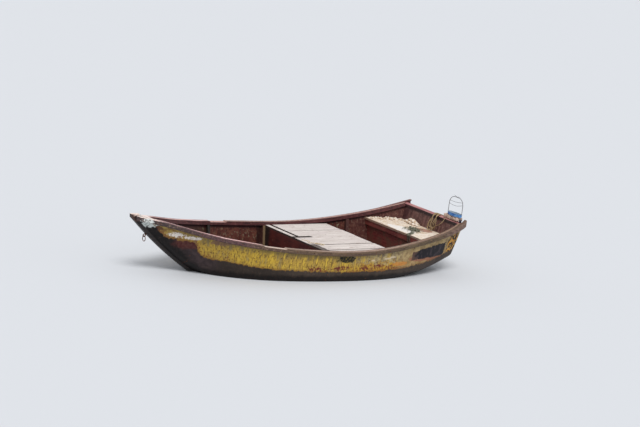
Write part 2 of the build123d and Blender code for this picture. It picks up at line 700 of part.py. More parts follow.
# Bow ring: an eye on the stem's face with a loose ring hanging in it
EYE_X = 1894
EYE_R = 15
EYE_WIRE_R = 5
EYE_PLATE = 5
RING_R = 30
RING_WIRE_R = 4
eye_foot_z, eye_slope = keel_line(EYE_X)
eye_out = (sin(eye_slope), -cos(eye_slope))
eye_reach = EYE_R + EYE_WIRE_R + EYE_PLATE - FIT
eye_centre = (EYE_X + eye_out[0] * eye_reach, 0, eye_foot_z + eye_out[1] * eye_reach)
with BuildPart() as eye:
    with Locations(Plane(origin=eye_centre, z_dir=(0, 1, 0))):
        Torus(EYE_R, EYE_WIRE_R)
    with BuildSketch(Plane(origin=(EYE_X, 0, eye_foot_z), z_dir=(eye_out[0], 0, eye_out[1]))):
        Circle(EYE_R)
    extrude(amount=EYE_PLATE)
save(eye, "bow_eye")
ring_drop = EYE_R - EYE_WIRE_R - RING_WIRE_R - FIT
with BuildPart() as ring:
    with Locations(Plane(
        origin=(eye_centre[0], 0, eye_centre[2] - ring_drop - RING_R), z_dir=(1, 0, 0),
    )):
        Torus(RING_R, RING_WIRE_R)
save(ring, "bow_ring")
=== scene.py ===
import bpy
import collections
import math
import random
from mathutils import Matrix, Vector, geometry, noise


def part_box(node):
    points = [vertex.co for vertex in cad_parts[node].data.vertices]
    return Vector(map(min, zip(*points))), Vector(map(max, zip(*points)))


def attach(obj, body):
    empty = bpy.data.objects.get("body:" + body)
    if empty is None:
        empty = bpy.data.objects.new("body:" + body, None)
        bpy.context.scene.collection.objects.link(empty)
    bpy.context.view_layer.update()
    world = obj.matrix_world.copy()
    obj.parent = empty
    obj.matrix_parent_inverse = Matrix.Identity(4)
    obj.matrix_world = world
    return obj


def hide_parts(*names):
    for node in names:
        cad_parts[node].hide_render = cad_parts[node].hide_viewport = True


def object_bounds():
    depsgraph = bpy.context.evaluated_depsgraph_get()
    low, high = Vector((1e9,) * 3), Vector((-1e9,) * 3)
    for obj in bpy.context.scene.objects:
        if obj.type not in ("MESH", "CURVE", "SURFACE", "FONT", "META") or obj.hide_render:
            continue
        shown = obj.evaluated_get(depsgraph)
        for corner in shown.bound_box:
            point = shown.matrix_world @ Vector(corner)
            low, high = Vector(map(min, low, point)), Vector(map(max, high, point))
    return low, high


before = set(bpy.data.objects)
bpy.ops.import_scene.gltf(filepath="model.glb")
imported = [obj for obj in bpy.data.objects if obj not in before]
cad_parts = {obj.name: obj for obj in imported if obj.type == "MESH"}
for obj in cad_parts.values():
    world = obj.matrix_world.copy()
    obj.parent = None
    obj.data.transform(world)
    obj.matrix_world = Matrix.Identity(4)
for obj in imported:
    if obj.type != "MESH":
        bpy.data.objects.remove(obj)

cad_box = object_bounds()

# Camera: it stands off the port bow, well above the rails, rolled a little to the right.
# Its place and turn come from the boat's own lines in the photograph, with the origin on the waterline.
STAND_OFF = 23.17
HEADING = math.radians(35.3)
ELEVATION = math.radians(13.14)
ROLL = math.radians(7.0)
LENS_PIXELS = 2000
ORIGIN_PIXEL = (283.3, 267.0)
FRAME_PIXELS = (640, 427)
SENSOR_WIDTH = 36
FAR_CLIP = 600

level_toward = Vector((math.sin(HEADING), math.cos(HEADING), 0))
level_right = Vector((-math.cos(HEADING), math.sin(HEADING), 0))
toward = level_toward * math.cos(ELEVATION) + Vector((0, 0, math.sin(ELEVATION)))
level_up = Vector((0, 0, math.cos(ELEVATION))) - level_toward * math.sin(ELEVATION)
right = level_right * math.cos(ROLL) + level_up * math.sin(ROLL)
up = level_up * math.cos(ROLL) - level_right * math.sin(ROLL)
aim = (right * ((FRAME_PIXELS[0] / 2 - ORIGIN_PIXEL[0]) / LENS_PIXELS)
       + up * ((ORIGIN_PIXEL[1] - FRAME_PIXELS[1] / 2) / LENS_PIXELS) - toward).normalized()
right = (right - aim * right.dot(aim)).normalized()
up = right.cross(aim)
camera_data = bpy.data.cameras.new("camera")
camera_data.sensor_width = SENSOR_WIDTH
camera_data.lens = LENS_PIXELS / FRAME_PIXELS[0] * SENSOR_WIDTH
camera_data.clip_end = FAR_CLIP
camera = bpy.data.objects.new("camera", camera_data)
bpy.context.collection.objects.link(camera)
turn = Matrix((right, up, -aim)).transposed().to_4x4()
camera.matrix_world = Matrix.Translation(toward * STAND_OFF) @ turn
bpy.context.scene.camera = camera

# Floor and light: a pale floor at the waterline, open where the hull goes down through it.
# One large soft sun from high over the port quarter and an even sky light the boat.
FLOOR_REACH = 200
FLOOR_TONE = (0.62, 0.63, 0.65, 1)
SUN_FROM = (0.25, 0.55, 0.80)
SUN_STRENGTH = 2.0
SUN_WIDTH = math.radians(25)
SKY_TONE = (0.93, 0.96, 1.0, 1)
SKY_STRENGTH = 0.75
WATERLINE_STEPS = 110
INTO_PLANK = 0.006
WET_STRAKES = ("garboard", "bottom_plank", "bilge_plank", "topside_plank")
Head = collections.namedtuple("Head", "spot facing")


def struck(node, start, way):
    """Where a line from this start meets a piece, and the piece's direction there."""
    found, spot, normal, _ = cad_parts[node].ray_cast(Vector(start), Vector(way))
    return Head(spot, normal) if found else None


stem_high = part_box("stem")[1]
half_breadths = []
for step in range(WATERLINE_STEPS + 1):
    x = cad_box[0][0] + (stem_high[0] - cad_box[0][0]) * step / WATERLINE_STEPS
    met = [struck(f"{strake}_port", (x, 1, 0), (0, -1, 0)) for strake in WET_STRAKES]
    breadths = [head.spot.y for head in met if head and head.spot.y > 2 * INTO_PLANK]
    if breadths:
        half_breadths.append((x, max(breadths) - INTO_PLANK))
opening = [Vector((x, y, 0)) for x, y in half_breadths]
opening += [Vector((x, -y, 0)) for x, y in reversed(half_breadths)]
corners = [Vector((x * FLOOR_REACH, y * FLOOR_REACH, 0)) for x, y in ((-1, -1), (1, -1), (1, 1), (-1, 1))]
floor_mesh = bpy.data.meshes.new("floor")
floor_mesh.from_pydata(corners + opening, [], geometry.tessellate_polygon([corners, opening]))
floor = bpy.data.objects.new("floor", floor_mesh)
bpy.context.collection.objects.link(floor)
floor_paint = bpy.data.materials.new("floor")
floor_paint.use_nodes = True
floor_shader = floor_paint.node_tree.nodes["Principled BSDF"]
floor_shader.inputs["Base Color"].default_value = FLOOR_TONE
floor_shader.inputs["Roughness"].default_value = 0.9
floor_shader.inputs["Specular IOR Level"].default_value = 0.1
floor.data.materials.append(floor_paint)
sun_data = bpy.data.lights.new("sun", "SUN")
sun_data.energy = SUN_STRENGTH
sun_data.angle = SUN_WIDTH
sun = bpy.data.objects.new("sun", sun_data)
bpy.context.collection.objects.link(sun)
sun.rotation_euler = Vector(SUN_FROM).to_track_quat("Z", "Y").to_euler()
world = bpy.data.worlds.new("sky")
bpy.context.scene.world = world
world.use_nodes = True
sky = world.node_tree.nodes["Background"]
sky.inputs["Color"].default_value = SKY_TONE
sky.inputs["Strength"].default_value = SKY_STRENGTH
bpy.context.scene.view_settings.view_transform = "Standard"

# Planking: five wooden strakes a side, edge to edge, nailed to the frames, the keel and the stem.
# The paint is ochre over a dark bottom. It has run, chalked and flaked, and peels in white at the bow.
# The inside is a worn ox-blood red.


def tone(red, green, blue):
    """A paint colour as it is mixed, from its values out of 255."""
    return tuple((v / 255) ** 2.2 for v in (red, green, blue)) + (1,)


def new_finish(name, roughness):
    """A finish with its shader and the place on the piece."""
    finish = bpy.data.materials.new(name)
    finish.use_nodes = True
    tree = finish.node_tree
    shader = tree.nodes["Principled BSDF"]
    shader.inputs["Roughness"].default_value = roughness
    return finish, shader, tree.nodes.new("ShaderNodeTexCoord").outputs["Object"]


def add_step(kind, values, **settings):
    """One node of a finish, with its values set or joined. At least one of them is joined."""
    tree = next(value.id_data for value in values.values() if isinstance(value, bpy.types.NodeSocket))
    step = tree.nodes.new(kind)
    for key, value in settings.items():
        setattr(step, key, value)
    for key, value in values.items():
        if isinstance(value, bpy.types.NodeSocket):
            tree.links.new(value, step.inputs[key])
        else:
            step.inputs[key].default_value = value
    return step


def parts(vector):
    """A place or direction taken apart into its three values."""
    return add_step("ShaderNodeSeparateXYZ", {0: vector}).outputs


def reckon(how, a, b=0.0):
    """One or two values brought together by a plain step of arithmetic."""
    return add_step("ShaderNodeMath", {0: a, 1: b}, operation=how).outputs[0]


def plus(a, b):
    """Two values added."""
    return reckon("ADD", a, b)


def minus(a, b):
    """One value less the other."""
    return reckon("SUBTRACT", a, b)


def times(a, b):
    """Two values multiplied."""
    return reckon("MULTIPLY", a, b)


def larger(a, b):
    """The larger of two values."""
    return reckon("MAXIMUM", a, b)


def unsigned(a):
    """A value without its sign."""
    return reckon("ABSOLUTE", a)


def speckle(place, scale, detail=5.0, rough=0.6, shift=(0, 0, 0)):
    """Cloudy noise, as fine along each axis as its scale, from 0 to 1."""
    mapped = add_step("ShaderNodeMapping", {"Vector": place, "Scale": scale, "Location": shift})
    cloudy = add_step(
        "ShaderNodeTexNoise",
        {"Vector": mapped.outputs[0], "Scale": 1.0, "Detail": detail, "Roughness": rough},
    )
    return cloudy.outputs[0]


def share(value, low, high):
    """0 below low, 1 over high and smooth between them."""
    ramp = add_step("ShaderNodeMapRange", {0: value, 1: low, 2: high}, interpolation_type="SMOOTHSTEP")
    return ramp.outputs[0]


def sway(cloudy, reach):
    """A noise moved to swing this far either way."""
    return times(minus(cloudy, 0.5), 2 * reach)


def frayed(value, cloudy, reach, low, high):
    """A share whose edge is moved either way by a noise."""
    return share(plus(value, sway(cloudy, reach)), low, high)


def over(amount, under, top, strength=1):
    """One coat laid over another by this amount, times its strength."""
    if strength != 1:
        amount = times(amount, strength)
    mix = add_step("ShaderNodeMix", {0: amount, 6: under, 7: top}, data_type="RGBA")
    return mix.outputs[2]


def patch(place, centre, size, ragged=0.35, grain=14.0, soft=0.12):
    """A patch of this size round this place, with a ragged edge."""
    off = add_step("ShaderNodeVectorMath", {0: place, 1: centre}, operation="SUBTRACT").outputs[0]
    scaled = add_step("ShaderNodeVectorMath", {0: off, 1: size}, operation="DIVIDE").outputs[0]
    reach = add_step("ShaderNodeVectorMath", {0: scaled}, operation="LENGTH").outputs["Value"]
    edge = speckle(place, (grain, grain, grain), shift=centre)
    return frayed(reach, edge, ragged, 1 + soft, 1 - soft)


def paint(shader, colour, height, strength, distance=0.002):
    """The colour laid on, with the surface's own relief from the same noise."""
    tree = shader.id_data
    tree.links.new(colour, shader.inputs["Base Color"])
    bump = add_step("ShaderNodeBump", {"Height": height, "Strength": strength, "Distance": distance})
    tree.links.new(bump.outputs[0], shader.inputs["Normal"])


def facing(shader):
    """The surface's own direction, taken apart."""
    return parts(shader.id_data.nodes.new("ShaderNodeNewGeometry").outputs["Normal"])


def dress(node_names, finish):
    """A finish for the pieces that came from the workshop as they are."""
    for name in node_names:
        for piece_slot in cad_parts[name].material_slots:
            piece_slot.material = finish


PAINT_LINE = (
    (-2.30, 0.38), (-1.926, 0.254), (-1.612, 0.184), (-1.28, 0.141), (-0.814, 0.115), (-0.29, 0.113),
    (0.345, 0.132), (0.735, 0.153), (0.975, 0.182), (1.122, 0.195), (1.262, 0.222), (1.345, 0.294),
    (1.412, 0.382), (1.54, 0.402), (1.645, 0.412), (1.789, 0.496), (1.86, 0.56), (2.10, 0.80),
)
SHEER_LINE = (
    (-2.30, 0.70), (-2.00, 0.572), (-1.77, 0.506), (-1.31, 0.418), (-0.85, 0.364), (-0.39, 0.347),
    (0.07, 0.364), (0.52, 0.395), (0.94, 0.440), (1.31, 0.496), (1.62, 0.561), (1.87, 0.609), (2.10, 0.648),
)


def line_height(along, heights):
    """The height of a line that runs along the hull through these places."""
    start, end = heights[0], heights[-1]
    line = add_step("ShaderNodeFloatCurve", {
        1: reckon("DIVIDE", minus(along, start[0]), end[0] - start[0]),
    })
    curve = line.mapping.curves[0]
    curve.points[0].location = (0.0, start[1])
    curve.points[1].location = (1.0, end[1])
    for x, height in heights[1:-1]:
        curve.points.new((x - start[0]) / (end[0] - start[0]), height)
    line.mapping.update()
    return line.outputs[0]


hull_finish, shader, place = new_finish("hull_paint", 0.6)
shader.inputs["Specular IOR Level"].default_value = 0.25
x_at, y_at, z_at = parts(place)
broad = speckle(place, (2.2, 2.2, 3.0), detail=3)
runs = speckle(place, (26, 26, 2.2), detail=6)
fine_runs = speckle(place, (75, 75, 6), detail=8, shift=(3, 1, 2))
flakes = speckle(place, (38, 38, 30), detail=10, rough=0.75, shift=(7, 0, 4))
mottle = speckle(place, (15, 15, 19), detail=7, rough=0.65, shift=(1, 9, 3))
rag = speckle(place, (9, 9, 16), detail=8)
height_over = minus(z_at, line_height(x_at, PAINT_LINE))
under_rail = minus(line_height(x_at, SHEER_LINE), z_at)
height_ragged = plus(plus(height_over, sway(rag, 0.026)), plus(sway(flakes, 0.040), sway(runs, 0.018)))
is_side = share(height_ragged, -0.003, 0.003)

# the side's ochre, in runs, with fine dark cracks, and greyed under the rail by grime and painted shade
side = over(share(broad, 0.38, 0.62), tone(194, 158, 52), tone(174, 142, 64))
side = over(share(runs, 0.50, 0.66), side, tone(208, 174, 66))
duller = frayed(x_at, mottle, 0.5, 0.2, 0.8)
side = over(duller, side, tone(136, 110, 60), 0.25)
side = over(share(fine_runs, 0.50, 0.60), side, tone(98, 78, 44), 0.8)
side = over(share(runs, 0.47, 0.33), side, tone(134, 120, 84), 0.6)
side = over(share(flakes, 0.56, 0.60), side, tone(84, 56, 38), 0.85)
# grey under the rail: grime, with painted shade from the rail above
shade_and_grime = frayed(under_rail, runs, 0.09, 0.13, 0.03)
side = over(shade_and_grime, side, tone(112, 98, 68), 0.75)
fore = frayed(x_at, mottle, 0.3, 1.40, 1.62)
fore_paint = over(share(mottle, 0.42, 0.6), tone(168, 146, 80), tone(112, 80, 50))
side = over(fore, side, fore_paint, 0.75)
smudge = patch(place, (1.16, 0.41, 0.415), (0.10, 0.4, 0.030), ragged=1.1, grain=30)
side = over(smudge, side, tone(104, 74, 70), 0.7)

# from amidships aft the coat is chalky and mottled, yellow only low down, with rust near the panel
aft = frayed(x_at, mottle, 0.9, -0.30, -0.70)
chalky = over(share(mottle, 0.42, 0.58), tone(124, 108, 80), tone(172, 154, 112))
chalky = over(share(flakes, 0.50, 0.57), chalky, tone(98, 82, 72), 0.75)
chalky = over(share(runs, 0.52, 0.60), chalky, tone(188, 154, 66), 0.55)
low_yellow = frayed(height_over, mottle, 0.16, 0.12, 0.06)
low_paint = over(share(flakes, 0.44, 0.54), tone(184, 144, 50), tone(130, 92, 46))
chalky = over(low_yellow, chalky, low_paint)
side = over(aft, side, chalky)
quarter_tan = frayed(x_at, mottle, 0.2, -1.0, -1.2)
tan_paint = over(share(mottle, 0.4, 0.6), tone(134, 112, 78), tone(164, 140, 100))
side = over(quarter_tan, side, tan_paint, 0.8)
rust = patch(place, (-1.15, 0.69, 0.186), (0.11, 0.4, 0.026), ragged=1.0, grain=26)
side = over(rust, side, tone(186, 120, 52), 0.75)
under_panel = patch(place, (-1.58, 0.62, 0.235), (0.30, 0.4, 0.04), ragged=0.8, grain=18)
side = over(under_panel, side, tone(138, 88, 72), 0.8)

# old crimson paint showing through low down in flecks, and one green-black blot
crimson_band = frayed(height_over, mottle, 0.06, 0.085, 0.045)
crimson_aft = times(share(x_at, 0.20, 0.05), share(x_at, -1.25, -1.05))
crimson_reach = larger(crimson_aft, times(share(x_at, 0.90, 1.05), 0.8))
crimson_specks = speckle(place, (44, 44, 40), detail=7, rough=0.65, shift=(5, 2, 8))
crimson = times(times(crimson_band, crimson_reach), share(crimson_specks, 0.55, 0.58))
side = over(crimson, side, tone(104, 38, 36), 0.9)
FLECKS = ((0.03, 0.152, 0.085), (-0.31, 0.165, 0.10), (-0.62, 0.158, 0.06), (-0.80, 0.176, 0.055))
for x, z, length in FLECKS:
    fleck = patch(place, (x, 0.70, z), (length, 0.4, 0.024), ragged=1.0, grain=40)
    fleck = times(fleck, share(crimson_specks, 0.44, 0.48))
    side = over(fleck, side, tone(96, 36, 36), 0.9)
low_edge = share(plus(height_over, times(fine_runs, 0.10)), 0.085, 0.040)
side = over(low_edge, side, tone(104, 66, 38), 0.7)
blot = patch(place, (-0.34, 0.72, 0.270), (0.120, 0.3, 0.042), ragged=0.9, grain=30)
blot_paint = over(share(flakes, 0.50, 0.56), tone(26, 25, 22), tone(104, 90, 44))
side = over(blot, side, blot_paint)
PALE_STREAKS = ((-0.93, 0.262, 0.06), (-1.00, 0.276, 0.05), (-0.72, 0.248, 0.03))
for x, z, length in PALE_STREAKS:
    streak = patch(place, (x, 0.72, z), (length, 0.3, 0.010), ragged=0.9, grain=26)
    side = over(streak, side, tone(196, 178, 152), 0.75)

# white left on the bow's ochre in two patches, and ahead of them paint that is worn through
white = larger(
    patch(place, (1.60, 0.17, 0.462), (0.074, 0.5, 0.028), ragged=1.3, grain=42),
    patch(place, (1.45, 0.24, 0.440), (0.085, 0.5, 0.020), ragged=1.3, grain=42),
)
white = times(white, share(flakes, 0.60, 0.54))
side = over(white, side, tone(214, 206, 198), 0.95)
worn = patch(place, (1.805, 0.09, 0.525), (0.05, 0.3, 0.035), ragged=0.9, grain=30)
side = over(worn, side, tone(80, 44, 36), 0.85)

# the blank dark panel on the quarter, taller aft
PANEL_FORE_X, PANEL_MIDDLE_X, PANEL_HALF_LENGTH = -1.30, -1.595, 0.2785
from_panel = minus(x_at, PANEL_FORE_X)
panel_middle = minus(0.267, times(from_panel, 0.102))
panel_half = minus(0.052, times(from_panel, 0.054))
panel_off = unsigned(minus(z_at, panel_middle))
panel_along = unsigned(minus(x_at, PANEL_MIDDLE_X))
panel_rag = plus(sway(flakes, 0.03), sway(mottle, 0.02))
panel = times(
    share(minus(plus(panel_off, panel_rag), panel_half), 0.004, -0.004),
    share(plus(panel_along, panel_rag), PANEL_HALF_LENGTH + 0.0065, PANEL_HALF_LENGTH - 0.0065),
)
panel_grain = speckle(place, (30, 30, 12), detail=8)
panel_paint = over(share(panel_grain, 0.50, 0.64), tone(28, 24, 30), tone(60, 52, 56))
panel_fore = frayed(x_at, mottle, 0.12, -1.41, -1.34)
panel_paint = over(panel_fore, panel_paint, tone(84, 64, 56))
side = over(panel, side, panel_paint)

# the quarter's yellow, blotched green-black on both sides
blotches = speckle(place, (30, 30, 26), detail=5, rough=0.55)
quarter_paint = over(share(mottle, 0.46, 0.54), tone(190, 144, 58), tone(150, 124, 70))
quarter_paint = over(share(flakes, 0.53, 0.58), quarter_paint, tone(190, 96, 34), 0.9)
quarter_paint = over(share(blotches, 0.485, 0.52), quarter_paint, tone(48, 36, 24))
for hand in (1, -1):
    quarter = patch(place, (-2.02, hand * 0.54, 0.39), (0.12, 0.4, 0.14), ragged=0.4, grain=12)
    side = over(quarter, side, quarter_paint)
side = over(frayed(x_at, mottle, 0.03, -2.085, -2.105), side, tone(186, 166, 116))

# the bottom's dark paint, black towards the stem, where painted shade makes it darker still, and brown-black
# by the waterline, darkened further there as a painted reflection of the dark water
bottom = over(share(broad, 0.40, 0.60), tone(56, 47, 42), tone(68, 58, 51))
bottom = over(share(flakes, 0.53, 0.62), bottom, tone(88, 76, 66), 0.5)
bottom = over(share(fine_runs, 0.52, 0.62), bottom, tone(44, 36, 34), 0.4)
fore_bottom = frayed(x_at, rag, 0.3, 0.9, 1.3)
bottom = over(fore_bottom, bottom, over(share(mottle, 0.4, 0.6), tone(52, 42, 44), tone(66, 54, 55)))
# near-black towards the stem: black paint, with painted shade where the bow faces down
to_stem = minus(x_at, times(z_at, 1.05))
near_stem = frayed(to_stem, rag, 0.10, 1.10, 1.24)
bottom = over(near_stem, bottom, over(share(flakes, 0.5, 0.6), tone(19, 15, 15), tone(38, 30, 28)))
amidships = times(share(x_at, 0.1, 0.6), share(x_at, 1.3, 1.0))
bottom = over(amidships, bottom, tone(30, 24, 19), 0.4)
primer = patch(place, (1.47, 0.20, 0.362), (0.135, 0.5, 0.062), ragged=0.5, grain=16, soft=0.3)
bottom = over(primer, bottom, over(share(flakes, 0.45, 0.6), tone(70, 30, 28), tone(84, 50, 44)), 0.92)
# brown-black by the waterline: red-brown paint darkened to near-black as a painted reflection of the dark
# water
at_waterline = frayed(z_at, rag, 0.03, 0.094, 0.044)
bottom = over(at_waterline, bottom, over(share(flakes, 0.5, 0.6), tone(17, 11, 10), tone(34, 20, 16)), 0.94)
outside = over(is_side, bottom, side)
bow_white = patch(place, (1.900, 0.06, 0.556), (0.085, 0.3, 0.034), ragged=1.2, grain=38)
bow_white = times(bow_white, share(flakes, 0.565, 0.515))
outside = over(bow_white, outside, tone(198, 204, 200))

# the inside, ox-blood over bare wood, with painted shade under the rails
inside = over(share(runs, 0.35, 0.65), tone(66, 32, 28), tone(92, 50, 42))
inside = over(share(mottle, 0.50, 0.60), inside, tone(108, 68, 54), 0.6)
inside = over(share(flakes, 0.56, 0.60), inside, tone(134, 126, 104), 0.75)
# darker in the bow: painted shade, speckled with flakes
fore_shade = frayed(x_at, mottle, 0.2, 0.66, 0.80)
inside = over(fore_shade, inside, over(share(flakes, 0.56, 0.62), tone(44, 32, 26), tone(84, 70, 52)), 0.7)
# painted shade on the inside just under the rails
inside = over(frayed(under_rail, runs, 0.02, 0.075, 0.045), inside, tone(58, 24, 27))
inside = over(share(z_at, -0.02, -0.08), inside, tone(52, 36, 30))
# painted shade from the frame, just forward of the post
post_shade = times(frayed(x_at, mottle, 0.04, -0.02, -0.05), share(x_at, -0.145, -0.14))
inside = over(post_shade, inside, tone(40, 24, 22), 0.75)
aft_inside = share(x_at, -1.25, -1.45)
inside = over(aft_inside, inside, over(share(flakes, 0.4, 0.6), tone(62, 34, 32), tone(96, 62, 56)), 0.6)
mirror_side = reckon("SIGN", y_at)
_, y_way, z_way = facing(shader)
inward = minus(z_way, times(mirror_side, y_way))
hull_colour = over(share(inward, -0.05, 0.05), outside, inside)
paint(shader, hull_colour, plus(flakes, fine_runs), 0.5)
STRAKES = ("garboard", "bottom_plank", "bilge_plank", "topside_plank", "sheer_plank")
dress([f"{strake}_{hand}" for strake in STRAKES for hand in ("port", "starboard")], hull_finish)

# Keel and stem: sawn oak joined in a scarf at the forefoot, with the planks' ends nailed to them.
# They are black with old bottom paint, made darker still by painted shade, and the stem's head is white and
# peels to brown wood.
stem_finish, shader, place = new_finish("stem_paint", 0.6)
x_at, _, z_at = parts(place)
grain = speckle(place, (8, 60, 60), detail=8)
chips = speckle(place, (45, 45, 45), detail=8, rough=0.7)
# near-black: the old black paint, with painted shade where the bow faces down
colour = over(share(grain, 0.35, 0.65), tone(20, 16, 16), tone(38, 30, 28))
colour = over(share(chips, 0.60, 0.66), colour, tone(84, 66, 54), 0.6)
z_way = facing(shader)[2]
head_wood = over(share(chips, 0.45, 0.55), tone(40, 27, 23), tone(72, 48, 40))
colour = over(frayed(z_at, chips, 0.03, 0.575, 0.60), colour, head_wood)
head_paint = over(share(chips, 0.46, 0.60), tone(240, 222, 210), tone(186, 152, 138))
head = share(plus(z_way, times(chips, 0.30)), 0.72, 0.92)
colour = over(times(head, share(z_at, 0.60, 0.63)), colour, head_paint)
brim = frayed(z_at, chips, 0.07, 0.648, 0.656)
colour = over(times(brim, share(x_at, 2.10, 2.06)), colour, head_paint)
cheek = patch(place, (1.985, 0.0, 0.640), (0.045, 0.2, 0.026), ragged=1.0, grain=34)
colour = over(times(cheek, share(chips, 0.58, 0.52)), colour, tone(202, 206, 200))
paint(shader, colour, plus(chips, grain), 0.6)
dress(["keel", "stem"], stem_finish)

# Rails, inwales and breasthook: planed strips nailed along the planks' top edge, tied by a block at the bow.
# Their tops are rubbed bare and pink, with a painted highlight along the crest, their outer faces brown,
# darker forward, with white left at the bow.
# An oar has worn a notch on each side.


def top_middle(node, bins, band=0.012):
    """How far off the centreline a long piece's top lies, at even steps along the boat."""
    spots = [tuple(vertex.co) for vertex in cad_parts[node].data.vertices]
    low, high = min(x for x, _, _ in spots), max(x for x, _, _ in spots)
    middles = []
    for step in range(bins):
        x_from, x_to = (low + (high - low) * (step + k) / bins for k in (0, 1))
        near = [spot for spot in spots if x_from <= spot[0] <= x_to]
        if near:
            crest = max(z for _, _, z in near)
            across = [abs(y) for _, y, z in near if z > crest - band]
            middles.append(((x_from + x_to) / 2, (min(across) + max(across)) / 2))
    return tuple(middles)


rail_finish, shader, place = new_finish("rail_paint", 0.6)
x_at, y_at, _ = parts(place)
_, y_way, z_way = facing(shader)
grain = speckle(place, (5, 70, 70), detail=8)
chips = speckle(place, (40, 40, 40), detail=8, rough=0.7)
cloud = speckle(place, (4, 6, 6), detail=4)
forward = frayed(x_at, cloud, 0.25, 0.45, 1.05)
astern = frayed(x_at, cloud, 0.25, -0.70, -1.40)
streaks = share(grain, 0.35, 0.65)
face = over(streaks, tone(72, 54, 42), tone(102, 80, 60))
face = over(forward, face, over(streaks, tone(54, 34, 36), tone(92, 62, 62)))
face = over(astern, face, over(streaks, tone(66, 52, 37), tone(94, 76, 54)))
by_horn = frayed(x_at, cloud, 0.15, -1.65, -1.95)
face = over(by_horn, face, over(streaks, tone(84, 62, 52), tone(122, 96, 84)))
by_bow = frayed(x_at, cloud, 0.15, 1.25, 1.65)
face = over(by_bow, face, over(streaks, tone(42, 32, 31), tone(72, 56, 54)), 0.8)
face = over(share(chips, 0.57, 0.62), face, tone(134, 110, 90), 0.7)
face = over(share(chips, 0.42, 0.37), face, tone(44, 32, 28), 0.6)
top = over(streaks, tone(98, 76, 64), tone(128, 102, 86))
top = over(forward, top, over(streaks, tone(92, 56, 58), tone(124, 82, 82)))
top = over(astern, top, over(streaks, tone(80, 60, 46), tone(108, 84, 66)))
far_top = times(share(y_at, 0.0, -0.01), share(x_at, -0.3, -0.9))
top = over(far_top, top, over(streaks, tone(96, 58, 54), tone(130, 88, 82)))
# the crest of the top: paint rubbed bare, with a painted highlight along the rounded top
crest = over(streaks, tone(150, 122, 104), tone(180, 152, 134))
crest = over(forward, crest, over(streaks, tone(206, 152, 148), tone(234, 196, 190)))
crest = over(astern, crest, over(streaks, tone(124, 94, 76), tone(154, 124, 102)))
crest = over(share(y_at, 0.0, -0.01), crest, tone(186, 146, 138), 0.6)
off_middle = unsigned(minus(unsigned(y_at), line_height(x_at, top_middle("sheer_plank_port", 24))))
rubbed_and_highlit = share(minus(plus(off_middle, sway(chips, 0.030)), times(forward, 0.012)), 0.018, 0.010)
top = over(rubbed_and_highlit, top, crest)
top = over(share(chips, 0.57, 0.64), top, tone(96, 62, 54), 0.8)
is_top = share(plus(z_way, times(chips, 0.25)), 0.78, 1.02)
inner = over(streaks, tone(58, 26, 28), tone(88, 42, 42))
inner = over(share(chips, 0.58, 0.64), inner, tone(124, 86, 78), 0.6)
mirror_side = reckon("SIGN", y_at)
inward = share(times(mirror_side, y_way), -0.2, -0.5)
colour = over(inward, face, inner)
colour = over(is_top, colour, top)
for hand, bare_wood in ((1, tone(204, 180, 164)), (-1, tone(186, 142, 132))):
    notch = patch(place, (0.585, hand * 0.62, 0.41), (0.15, 0.16, 0.05), ragged=0.3)
    notch = times(notch, share(z_way, 0.55, 0.8))
    colour = over(notch, colour, bare_wood, 0.85)
bow = frayed(x_at, chips, 0.25, 1.76, 1.84)
bow = times(bow, frayed(z_way, chips, 0.5, 0.45, 0.75))
bow_paint = over(share(chips, 0.48, 0.58), tone(240, 222, 212), tone(196, 160, 148))
colour = over(bow, colour, bow_paint)
cheek = patch(place, (1.945, 0.09, 0.600), (0.065, 0.2, 0.036), ragged=1.0, grain=34)
cheek = times(cheek, share(chips, 0.57, 0.51))
colour = over(cheek, colour, tone(202, 206, 202))
paint(shader, colour, plus(chips, grain), 0.7)
dress(["rail_port", "rail_starboard", "inwale_port", "inwale_starboard", "breasthook"], rail_finish)

# Transom and its rail: a raked board that the planks' ends are nailed to, with a worn pink rail on top.
# It is dusty red inside. The outside keeps the hull's ochre over the dark bottom, with chips.
transom_finish, shader, place = new_finish("transom_paint", 0.6)
_, y_at, z_at = parts(place)
x_way, _, z_way = facing(shader)
grain = speckle(place, (60, 5, 60), detail=8)
chips = speckle(place, (34, 34, 34), detail=8, rough=0.7)
runs = speckle(place, (26, 26, 3), detail=6)
inner = over(share(runs, 0.35, 0.65), tone(68, 38, 34), tone(104, 70, 64))
inner = over(share(chips, 0.53, 0.61), inner, tone(128, 98, 86), 0.6)
# painted shadow in a band just under the transom rail
inner = over(frayed(z_at, runs, 0.03, 0.545, 0.575), inner, tone(44, 20, 21))
# painted shade in the far corner of the transom
far_corner_shade = frayed(y_at, runs, 0.1, -0.36, -0.46)
inner = over(far_corner_shade, inner, tone(58, 28, 32), 0.7)
outer = over(share(runs, 0.4, 0.6), tone(172, 136, 54), tone(124, 98, 58))
outer = over(share(plus(z_at, times(chips, 0.04)), 0.36, 0.33), outer, tone(56, 48, 46))
outer = over(share(chips, 0.58, 0.64), outer, tone(92, 56, 40), 0.8)
colour = over(share(x_way, -0.3, 0.3), outer, inner)
top = over(share(grain, 0.40, 0.60), tone(144, 88, 88), tone(176, 124, 120))
colour = over(share(z_way, 0.5, 0.9), colour, top)
paint(shader, colour, plus(chips, grain), 0.7)
dress(["transom", "transom_rail"], transom_finish)

# Floor timbers, bottom boards, bulkheads, beams and cleat: sawn wood nailed in, under old ox-blood paint.
# The fore bulkhead is the reddest, and the locker's aft is browner and stained olive.
inside_finish, shader, place = new_finish("inside_paint", 0.65)
x_at, y_at, _ = parts(place)
grain = speckle(place, (60, 4, 60), detail=8)
chips = speckle(place, (30, 30, 30), detail=8, rough=0.7)
cloud = speckle(place, (5, 5, 5), detail=4)
streaks = times(share(grain, 0.5, 0.7), 0.5)
red = over(share(cloud, 0.4, 0.6), tone(70, 23, 20), tone(88, 34, 28))
